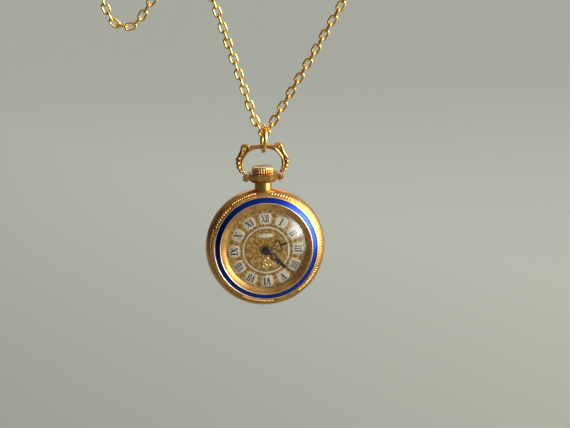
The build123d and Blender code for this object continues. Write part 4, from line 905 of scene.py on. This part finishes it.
@dataclass
class Dial(Assembly):
    """The stamped dial: cells, Roman hours, minute beads, plaque and foliage.

    A palmette's scroll has its turn from the hour, reach, distance aside, size, open end's direction and way
    of winding; one of the rosette has its turn, reach, size, direction, way and how often it goes round.
    """

    dressed: Dressed = ((Kind.DIAL, ("dial",)), (Kind.WHITE, ("dial_track",)))
    front: float = 4.95
    ring_r: float = 7.15
    cell_half: Point = (1.37, 1.28)
    cell_corner: float = 0.62
    cell_flare: float = 0.07
    scallop_depth: float = 0.14
    scallop_fill: float = 0.06
    rise: float = 0.13
    rim_share: float = 0.35
    dot_r: float = 0.13
    dot_aside: float = 0.42
    numeral_h: float = 1.5
    numeral_w: float = 1.75
    track_r: float = 5.15
    beads: int = 120
    bead: Triple = (0.11, 0.19, 0.08)
    plaque_half: Point = (1.63, 0.42)
    plaque_up: float = 3.3
    plaque_rise: float = 0.11
    plaque_rim_rise: float = 0.05
    hours: tuple[str, ...] = ("XII", "I", "II", "III", "IIII", "V", "VI", "VII", "VIII", "IX", "X", "XI")
    cell_steps: tuple[Point, ...] = ((1.0, 0.0), (0.985, 0.5), (0.93, 0.85), (0.8, 1.0))
    plaque_steps: tuple[Point, ...] = ((1.0, 0.0), (0.99, 0.6), (0.95, 1.0))
    rim_steps: tuple[Point, ...] = ((1.07, 0.0), (1.05, 0.9), (1.0, 1.0))
    palmette: tuple[tuple[float, float, float, float, float, int], ...] = (
        (15.0, 6.2, 0.3, 0.3, 150, -1), (15.0, 7.35, 0.34, 0.36, -20, 1),
        (15.0, 8.5, 0.62, 0.42, 100, -1), (0.0, 8.85, 0.55, 0.32, 80, 1))
    rosette: tuple[tuple[float, float, float, float, int, float], ...] = (
        (0.0, 3.95, 0.52, 200, 1, 1.5), (12.0, 2.75, 0.42, 60, -1, 1.4), (4.0, 1.8, 0.28, 150, 1, 1.2))
    rosettes: int = 14
    rings: tuple[Triple, ...] = ((0.0, -2.1, 0.4), (-0.37, -3.5, 0.42), (1.12, -3.2, 0.4))

    def cell_outline(self, angle: float) -> list[Point]:
        """Outlines one hour's cell, with its scalloped inner edge.

        Args:
            angle: The hour's angle, clockwise from twelve, in degrees.

        Returns:
            The cell's corners, x and z.
        """
        half_w, half_h = self.cell_half
        outline = []
        for t in turns(48):
            side = half_w * bulged(math.cos(t), self.cell_corner)
            out = half_h * bulged(math.sin(t), self.cell_corner)
            side *= 1.0 + self.cell_flare * out / half_h
            if math.sin(t) < -0.2:
                wave = abs(math.sin(3.0 * math.pi * (side / (2 * half_w) + 0.5)))
                out -= self.scallop_depth * wave - self.scallop_fill
            outline.append(turned_spot(angle, self.ring_r + out, side))
        return outline

    def build_cells(self) -> None:
        """Builds the twelve white cells, their gilt rims and the two dark dots at the foot of each."""
        cells, dots, rims = bmesh.new(), bmesh.new(), bmesh.new()
        for hour in range(12):
            angle = HOUR_STEP * hour
            outline = self.cell_outline(angle)
            add_pillow(cells, outline, self.front, self.rise, self.cell_steps)
            add_pillow(rims, outline, self.front, self.rise * self.rim_share, self.rim_steps)
            for side in (-self.dot_aside, self.dot_aside):
                x, z = turned_spot(angle, self.ring_r - self.cell_half[1] + 0.03, side)
                add_ball(dots, at(x, self.front + 0.1, z), self.dot_r)
        keep_piece(cells, "hour_cells", "case", Kind.WHITE, ["dial_cartouches"])
        keep_piece(rims, "hour_cell_rims", "case", Kind.RELIEF)
        keep_piece(dots, "hour_cell_dots", "case", Kind.NUMERAL)

    def build_numerals(self) -> None:
        """Builds the painted Roman hours, their heads outwards."""
        build = bmesh.new()
        back, front = self.front + self.rise - 0.01, self.front + self.rise + 0.02
        for hour, word in enumerate(self.hours):
            signs = [SIGNS[letter] for letter in word]
            total = sum(sign.width for sign in signs)
            squeeze = min(1.0, self.numeral_w / (total * self.numeral_h))
            start = -total / 2
            for sign in signs:
                middle = start + sign.width / 2
                for outline in sign.outlines():
                    add_prism(build, [
                        turned_spot(HOUR_STEP * hour, self.ring_r + 0.05 + y * self.numeral_h,
                                    (middle + x) * self.numeral_h * squeeze) for x, y in outline
                    ], back, front)
                start += sign.width
        numerals = mesh_from(build, "hour_numerals", weld=False)
        keep_piece(numerals, "hour_numerals", "case", Kind.NUMERAL, smooth=False)

    @staticmethod
    def draw_beads(on: Nodes, size: Any) -> Socket:
        """Draws a ring of beads that all point outwards, and stands it up on the dial.

        Args:
            on: The tree's nodes.
            size: The tree's named inputs.

        Returns:
            The beads.
        """
        ring = on.add("GeometryNodeMeshCircle", {"Vertices": size["Beads"], "Radius": size["Radius"]})
        bead = on.add("GeometryNodeMeshUVSphere", {"Segments": 8, "Rings": 6, "Radius": 1.0})
        shaped = on.add("GeometryNodeTransform", {"Geometry": bead, "Scale": size["Bead"]})
        outwards = {"Vector": on.add("GeometryNodeInputPosition")}
        facing = on.add("FunctionNodeAlignRotationToVector", outwards, axis="Y")
        put = on.add("GeometryNodeInstanceOnPoints", {"Points": ring, "Instance": shaped, "Rotation": facing})
        upright = {"Geometry": put, "Translation": size["Middle"], "Rotation": (math.pi / 2, 0.0, 0.0)}
        return on.add("GeometryNodeTransform", upright)

    def build_track(self) -> None:
        """Strings the white minute beads round their ring."""
        beads = pattern("minute_beads", Kind.WHITE, {
            "Beads": self.beads, "Radius": self.track_r * MM, "Bead": tuple(v * MM for v in self.bead),
            "Middle": tuple(at(0, self.front + 0.08, -MOVEMENT_DROP)),
        }, self.draw_beads)
        keep_piece(beads, "minute_beads", "case", Kind.WHITE)

    def build_plaque(self) -> None:
        """Builds the bare plaque above the hub, in its narrow rim."""
        half_w, half_h = self.plaque_half
        outline = [turned_spot(0.0, self.plaque_up + half_h * bulged(math.sin(t), 0.45),
                               half_w * bulged(math.cos(t), 0.35))
                   for t in (turn + math.pi / 32 for turn in turns(32))]
        plaque, rim = bmesh.new(), bmesh.new()
        add_pillow(plaque, outline, self.front, self.plaque_rise, self.plaque_steps)
        add_pillow(rim, outline, self.front, self.plaque_rim_rise, self.rim_steps)
        keep_piece(plaque, "bare_plaque", "case", Kind.WHITE, ["dial_plaque"])
        keep_piece(rim, "bare_plaque_rim", "case", Kind.RELIEF)

    def scroll(self, build: BMesh, middle: Point, size: float, start: float, way: int,
               rounds: float = 1.35) -> None:
        """Adds one stamped scroll that winds in to its own eye.

        Args:
            build: The bmesh that takes it.
            middle: The eye's x and z in millimetres.
            size: The scroll's outer radius.
            start: The direction of its open end, in degrees clockwise from twelve.
            way: 1 to wind in clockwise, -1 the other way.
            rounds: How often it goes round.
        """
        steps = int(14 * rounds)
        line, radii = [], []
        for share in (k / steps for k in range(steps + 1)):
            angle = math.radians(start + way * 360 * rounds * share)
            reach = size * (1 - 0.82 * share)
            line.append(at(middle[0] + reach * math.sin(angle), self.front + 0.01,
                           middle[1] + reach * math.cos(angle)))
            thick = size * (0.11 + 0.15 * math.sin(math.pi * min(1.0, 0.15 + share)))
            radii.append((thick, min(thick * 1.1, 0.13)))
        add_tube(build, line, radii, sides=6)

    def build_foliage(self) -> None:
        """Builds the stamped foliage: palmettes between the cells, a rosette of scrolls and three rings."""
        build = bmesh.new()
        for hour in range(12):
            for side in (-1, 1):
                for turn, reach, aside, size, start, way in self.palmette:
                    angle = HOUR_STEP * hour + turn
                    eye = turned_spot(angle, reach, side * aside)
                    self.scroll(build, eye, size, angle + side * start, side * way)
            x, z = turned_spot(HOUR_STEP * (hour + 0.5), 8.9)
            add_ball(build, at(x, self.front + 0.02, z), 0.16)
        for k in range(self.rosettes):
            angle = 360.0 * k / self.rosettes
            for turn, reach, size, start, way, rounds in self.rosette:
                self.scroll(build, turned_spot(angle + turn, reach), size, angle + start, way, rounds)
        for x, z, size in self.rings:
            ring = [at(x + size * math.cos(t), self.front + 0.1, z - MOVEMENT_DROP + size * math.sin(t))
                    for t in turns(20, 1)]
            add_tube(build, ring, [(0.11, 0.11)] * len(ring), sides=8)
        keep_piece(build, "dial_foliage", "case", Kind.RELIEF)

    def build(self) -> None:
        """Builds all that lies on the dial's plate."""
        self.build_cells()
        self.build_numerals()
        self.build_track()
        self.build_plaque()
        self.build_foliage()


@dataclass
class Hands(Assembly):
    """The pierced black hands; the hour hand's trefoil and blade are distances along and across it."""

    dressed: Dressed = ((Kind.BLACK, ("hour_hand", "minute_hand", "hand_boss")),)
    angle: float = 73.0
    loop: tuple[Point, ...] = ((0.95, 0.14), (1.5, 0.24), (2.05, 0.42), (2.4, 0.86), (2.75, 1.3), (3.2, 1.32),
                               (3.42, 0.9), (3.28, 0.44), (3.45, 0.12))
    loop_steps: int = 6
    wire: Point = (0.1, 0.048)
    blade: tuple[Point, ...] = ((3.3, 0.08), (3.6, 0.3), (4.1, 0.16), (4.5, 0.28), (4.9, 0.07), (5.9, 0.035))
    collet_r: float = 0.68
    collet_half_w: float = 0.13

    def build(self) -> None:
        """Builds the hour hand where the CAD has it: collet, trefoil, blade and needle point."""
        low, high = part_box("hour_hand")
        back, front = -high[1] / MM, -low[1] / MM
        middle = (back + front) / 2
        build = bmesh.new()
        ring = [at(self.collet_r * math.sin(t), middle, self.collet_r * math.cos(t) - MOVEMENT_DROP)
                for t in turns(40, 1)]
        add_tube(build, ring, [(self.collet_half_w, self.wire[1])] * len(ring), sides=8)
        for side in (-1, 1):
            spots = [turned_spot(self.angle, along, side * across) for along, across in self.loop]
            line = smooth_line([at(x, middle, z) for x, z in spots], self.loop_steps)
            add_tube(build, line, [self.wire] * len(line), sides=8)
        edges = [turned_spot(self.angle, along, across) for along, across in self.blade]
        edges += [turned_spot(self.angle, along, -across) for along, across in reversed(self.blade)]
        add_prism(build, edges, back, front)
        keep_piece(build, "open_hour_hand", "hour_hand_set", Kind.BLACK, ["hour_hand"])


@dataclass
class Bow(Assembly):
    """The cast bow: a smooth inner band, a volute at each shoulder and leaf knots down the sides.

    A station of a strip has its x, z, half width and half depth. A knot has its x, z, half length, half width
    and how far its long axis dips below the level, in degrees. The eye and a clearance have their ends and
    their radius; the collar's clearance starts at its first number and ends at the eye.
    """

    band: tuple[Quad, ...] = (
        (3.82, 15.95, 0.38, 0.5), (3.96, 16.75, 0.36, 0.5), (4.4, 17.6, 0.32, 0.5), (4.66, 18.6, 0.3, 0.52),
        (4.66, 19.5, 0.3, 0.54), (4.38, 20.55, 0.31, 0.56), (3.52, 21.75, 0.36, 0.58),
        (2.75, 22.5, 0.5, 0.58), (2.0, 22.83, 0.57, 0.56), (1.3, 22.93, 0.5, 0.5),
    )
    crest: Quad = (0.0, 22.95, 0.47, 0.48)
    web: tuple[Quad, ...] = (
        (4.35, 16.95, 0.22, 0.3), (4.95, 17.9, 0.36, 0.36), (5.2, 19.0, 0.42, 0.4), (5.1, 20.1, 0.42, 0.42),
        (4.6, 21.2, 0.5, 0.42), (4.1, 22.1, 0.55, 0.42), (3.72, 22.85, 0.66, 0.44),
    )
    sweep: tuple[Quad, ...] = (
        (3.5, 22.75, 0.16, 0.6), (3.95, 22.5, 0.2, 0.66), (3.9, 23.0, 0.16, 0.6), (3.4, 23.1, 0.18, 0.56),
        (3.02, 22.72, 0.24, 0.6), (3.12, 23.28, 0.28, 0.66), (3.75, 23.52, 0.33, 0.7),
        (4.36, 23.12, 0.38, 0.72), (4.54, 22.4, 0.4, 0.7), (4.74, 21.7, 0.46, 0.68),
        (5.05, 21.1, 0.46, 0.64), (5.4, 20.7, 0.34, 0.56),
    )
    knots: tuple[tuple[float, float, float, float, float], ...] = (
        (5.46, 20.45, 0.74, 0.46, 38.0), (5.58, 19.35, 0.62, 0.48, 80.0), (5.4, 18.36, 0.58, 0.46, 105.0),
        (4.98, 17.5, 0.56, 0.4, 125.0),
    )
    knot_half_d: float = 0.64
    eye_z: float = 15.85
    eye: Triple = (3.44, 4.21, 0.83)
    collar_clearance: Point = (2.9, 1.1)
    clearances: tuple[Triple, ...] = ((3.3, 4.5, 0.36), (4.23, 5.1, 0.66))
    voxel: float = 0.06

    def add_rod(self, build: BMesh, side: int, near: float, far: float, radius: float) -> None:
        """Adds a rod on the axis of the bow's screws: a bored end, or the tool that clears one.

        Args:
            build: The bmesh that takes it.
            side: -1 for the left one, 1 for the right one.
            near: Distance of its inner end from the middle plane in millimetres.
            far: Distance of its outer end.
            radius: Its radius.
        """
        middle = Matrix.Translation(at(side * (near + far) / 2, STEM_DEPTH, self.eye_z))
        bmesh.ops.create_cone(build, cap_ends=True, segments=48, radius1=radius * MM, radius2=radius * MM,
                              depth=(far - near) * MM, matrix=middle @ Matrix.Rotation(math.pi / 2, 4, "Y"))

    def add_knot(self, build: BMesh, x: float, z: float, long: float, wide: float, dip: float) -> None:
        """Adds one leaf-like knot.

        Args:
            build: The bmesh that takes it.
            x: Its middle.
            z: Its height.
            long: Half its length.
            wide: Half its width.
            dip: How far its long axis dips below the level, in degrees.
        """
        turn = Matrix.Rotation(math.radians(dip), 4, "Y")
        size = Matrix.Diagonal((long * MM, self.knot_half_d * MM, wide * MM, 1.0))
        bmesh.ops.create_uvsphere(build, u_segments=20, v_segments=14, radius=1.0,
                                  matrix=Matrix.Translation(at(x, STEM_DEPTH, z)) @ turn @ size)

    def add_strip(self, build: BMesh, stations: Sequence[Quad]) -> None:
        """Adds a strip of the casting.

        Args:
            build: The bmesh that takes it.
            stations: Its x, z, half width and half depth at each station.
        """
        line = smooth_line([at(x, STEM_DEPTH, z) for x, z, _, _ in stations])
        radii = []
        for place in (i / SPAN_STEPS for i in range(len(line))):
            k = min(int(place), len(stations) - 2)
            one, two = stations[k], stations[k + 1]
            radii.append(tuple(one[c] + (two[c] - one[c]) * (place - k) for c in (2, 3)))
        add_tube(build, line, radii, sides=20)

    def build(self) -> None:
        """Builds the bow's masses, melts them into one casting and bores its eyes."""
        build = bmesh.new()
        mirrored = [(-x, z, wide, deep) for x, z, wide, deep in reversed(self.band)]
        self.add_strip(build, [*self.band, self.crest, *mirrored])
        for side in (-1, 1):
            for x, z, long, wide, dip in self.knots:
                self.add_knot(build, side * x, z, long, wide, side * dip)
            for strip in (self.web, self.sweep):
                self.add_strip(build, [(side * x, z, wide, deep) for x, z, wide, deep in strip])
            self.add_rod(build, side, *self.eye)
        keep_piece(self.melt(build), "cast_bow", "bow", Kind.CAST, ["bow"])

    def melt(self, masses: BMesh) -> Mesh:
        """Joins the masses into one skin, softens it as a casting is and cuts the clearances.

        Args:
            masses: The overlapping masses.

        Returns:
            One closed mesh, free of the screws, their heads and the collar.
        """
        holder = new_object("bow_holder", mesh_from(masses, "bow_masses"))
        skin = holder.modifiers.new("skin", "REMESH")
        skin.mode, skin.voxel_size = "VOXEL", self.voxel * MM
        soft = holder.modifiers.new("soft", "SMOOTH")
        soft.factor, soft.iterations = 0.5, 3
        cutter = bmesh.new()
        for side in (-1, 1):
            near, radius = self.collar_clearance
            for clearance in ((near, self.eye[0], radius), *self.clearances):
                self.add_rod(cutter, side, *clearance)
        tool = new_object("clearance_tool", mesh_from(cutter, "clearance_tool"))
        cut = holder.modifiers.new("clearances", "BOOLEAN")
        cut.operation, cut.object, cut.solver, cut.use_self = "DIFFERENCE", tool, "EXACT", True
        casting = applied(holder)
        bpy.data.objects.remove(tool)
        return casting


@dataclass
class Movement(Assembly):
    """What lies under the dial and behind it: plates, wheels and steelwork."""

    dressed: Dressed = (
        (Kind.PLATE, ("main_plate", "barrel_bridge", "train_bridge", "pallet_cock", "balance_cock",
                      "movement_ring")),
        (Kind.WHEEL, ("centre_wheel", "third_wheel", "fourth_wheel", "escape_wheel", "barrel_drum",
                      "barrel_lid", "balance_wheel", "hour_wheel", "minute_wheel")),
        (Kind.STEEL, ("winding_stem", "winding_pinion", "sliding_pinion", "setting_lever", "yoke",
                      "yoke_spring", "setting_wheel", "crown_wheel", "ratchet_wheel", "crown_wheel_screw",
                      "click", "click_spring", "bridge_screws", "case_screws", "barrel_arbor", "mainspring",
                      "pallet_fork", "balance_staff", "cannon_pinion", "regulator_index")),
        (Kind.BLUED, ("hairspring",)), (Kind.RUBY, ("jewels", "pallet_stones")),
    )


@dataclass
class Necklace(Assembly):
    """The bail, the chain and its ends, all in yellow gold plate."""

    dressed: Dressed = ((Kind.CHAIN, ("bail", "chain_left", "chain_right", "chain_ends")),)


@dataclass(frozen=True)
class Lamp:
    """A soft rectangular lamp that faces the watch.

    Its azimuth is in degrees to the right of the view along +Y, its height, reach, width and height of face
    are in metres, and a radiance of 1 is paper white.
    """

    name: str
    azimuth: float
    height: float
    reach: float
    wide: float
    tall: float
    radiance: float
    colour: str

    def hang(self) -> None:
        """Puts the lamp in the scene."""
        light = bpy.data.lights.new(self.name, "AREA")
        light.shape, light.size, light.size_y = "RECTANGLE", self.wide, self.tall
        light.energy, light.color = self.radiance * math.pi * self.wide * self.tall, linear(self.colour)[:3]
        a = math.radians(self.azimuth)
        place = Vector((self.reach * math.sin(a), -self.reach * math.cos(a), self.height))
        turn = place.to_track_quat("Z", "Y").to_matrix().to_4x4()
        new_object(self.name, light).matrix_world = Matrix.Translation(place) @ turn


def direction(azimuth: float, elevation: float) -> Vector:
    """Returns the way from the watch to a spot, in degrees to the right of the front and above the level."""
    a, e = math.radians(azimuth), math.radians(elevation)
    return Vector((math.sin(a) * math.cos(e), -math.cos(a) * math.cos(e), math.sin(e)))


@dataclass
class Studio:
    """The plain studio: pale floor, soft lamps, world and the photograph's camera.

    A window of the world has its azimuth and elevation in degrees, how tight its glow is and its peak.
    """

    azimuth: float = -5.5
    elevation: float = 11.4
    roll: float = 1.8
    aim_right: float = 4.69
    aim_up: float = 7.23
    aim_depth: float = 3.55
    distance: float = 500.0
    frame_mm: float = 129.8
    sensor_mm: float = 36.0
    floor_z: float = -120.0
    floor_half_m: float = 6.0
    # Floor paper, and the painted shade it grades to at the near left
    floor_pale: str = "BBC0B5"
    floor_painted_shade: str = "5E5C56"
    overhead: float = 0.22
    behind: float = 0.08
    ambient: float = 0.2
    lean: float = 0.8
    windows: tuple[Quad, ...] = ((46.0, 8.0, 60.0, 15.0), (63.0, 18.0, 20.0, 11.0))
    lamps: tuple[Lamp, ...] = (
        Lamp("card", 62.0, -0.058, 0.42, 0.34, 0.11, 3.2, "FFF6E6"),
        Lamp("panel", 88.0, 0.16, 0.7, 0.6, 0.5, 1.5, "FFF6E6"),
        Lamp("behind", 170.0, 0.5, 0.7, 0.7, 0.4, 0.9, "FFFFFF"),
    )

    def build_floor(self) -> None:
        """Lays the studio floor below the hanging watch: pale paper with a painted shade that grades it to
        grey at the near left.
        """
        build = bmesh.new()
        bmesh.ops.create_grid(build, x_segments=1, y_segments=1, size=self.floor_half_m,
                              matrix=Matrix.Translation((0, 0, self.floor_z * MM)))
        mesh = bpy.data.meshes.new("floor")
        build.to_mesh(mesh)
        build.free()
        floor = new_object("floor", mesh)
        paper = bpy.data.materials.new("floor_paper_with_painted_shade")
        paper.use_nodes = True
        on = Nodes(paper.node_tree)
        split = on.split(on.add("ShaderNodeTexCoord", out="Object"))
        # Painted shade: the floor darkens towards the near left, so the metal reflects a darker left side
        away = on.calc("ADD", split["X"], on.calc("MULTIPLY", split["Y"], 0.5))
        grade = on.calc("ADD", on.calc("MULTIPLY", away, 0.9), 0.5)
        shader = paper.node_tree.nodes["Principled BSDF"]
        tone = on.ramp(grade, (0.0, self.floor_painted_shade), (0.85, self.floor_pale))
        paper.node_tree.links.new(tone, shader.inputs["Base Color"])
        shader.inputs["Roughness"].default_value = 0.8
        mesh.materials.append(paper)

    def build_world(self) -> None:
        """Sets the room: brighter overhead and behind, darker to the left, with two soft windows."""
        world = bpy.data.worlds.new("studio")
        bpy.context.scene.world = world
        world.use_nodes = True
        world.node_tree.nodes.clear()
        on = Nodes(world.node_tree)
        place = on.add("ShaderNodeTexCoord", out="Generated")
        split = on.split(place)
        up, back = (on.calc("MAXIMUM", split[axis], 0.0) for axis in "ZY")
        level = on.calc("ADD", on.blend(up, self.overhead, back, self.behind), self.ambient)
        lean = on.calc("ADD", on.calc("MULTIPLY", split["X"], self.lean), 1.0)
        tint = on.ramp(on.calc("MULTIPLY", lean, 0.5), (0.15, "FFE2C0"), (0.6, "FFFFFF"))
        strength = on.calc("MULTIPLY", level, lean)
        for azimuth, height, focus, peak in self.windows:
            ways = {0: place, 1: direction(azimuth, height)}
            facing = on.add("ShaderNodeVectorMath", ways, "Value", operation="DOT_PRODUCT")
            glow = on.calc("POWER", on.calc("MAXIMUM", facing, 0.0), focus)
            strength = on.calc("ADD", strength, on.calc("MULTIPLY", glow, peak))
        light = on.add("ShaderNodeBackground", {"Color": tint, "Strength": strength})
        on.put("ShaderNodeOutputWorld", {"Surface": light})

    def build_camera(self) -> None:
        """Stands the camera where the photograph was taken from."""
        a, r = math.radians(self.azimuth), math.radians(self.roll)
        back = direction(self.azimuth, self.elevation)
        right = Vector((math.cos(a), math.sin(a), 0.0))
        up = back.cross(right)
        target = at(0, self.aim_depth, 0) + (right * self.aim_right + up * self.aim_up) * MM
        tilted_right = right * math.cos(r) - up * math.sin(r)
        tilted_up = right * math.sin(r) + up * math.cos(r)
        camera = bpy.data.cameras.new("camera")
        camera.sensor_width = self.sensor_mm
        camera.lens = self.sensor_mm * self.distance / self.frame_mm
        camera.clip_start, camera.clip_end = 0.01, 20.0
        thing = new_object("camera", camera)
        turn = Matrix((tilted_right, tilted_up, back)).transposed().to_4x4()
        thing.matrix_world = Matrix.Translation(target + back * self.distance * MM) @ turn
        bpy.context.scene.camera = thing

    def build(self) -> None:
        """Builds the floor, the world, the lamps and the camera."""
        self.build_floor()
        self.build_world()
        for lamp in self.lamps:
            lamp.hang()
        self.build_camera()
        bpy.context.scene.view_settings.view_transform = "Standard"


def main() -> None:
    """Builds the dressed watch and its studio."""
    logging.basicConfig(level=logging.INFO, format="%(message)s")
    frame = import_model()
    for assembly in (Case(), Movement(), Necklace(), Hands(), Dial(), Engraving(), Crown(), Bow()):
        assembly.dress(frame)
        assembly.build()
    Studio().build()


if __name__ == "__main__":
    main()
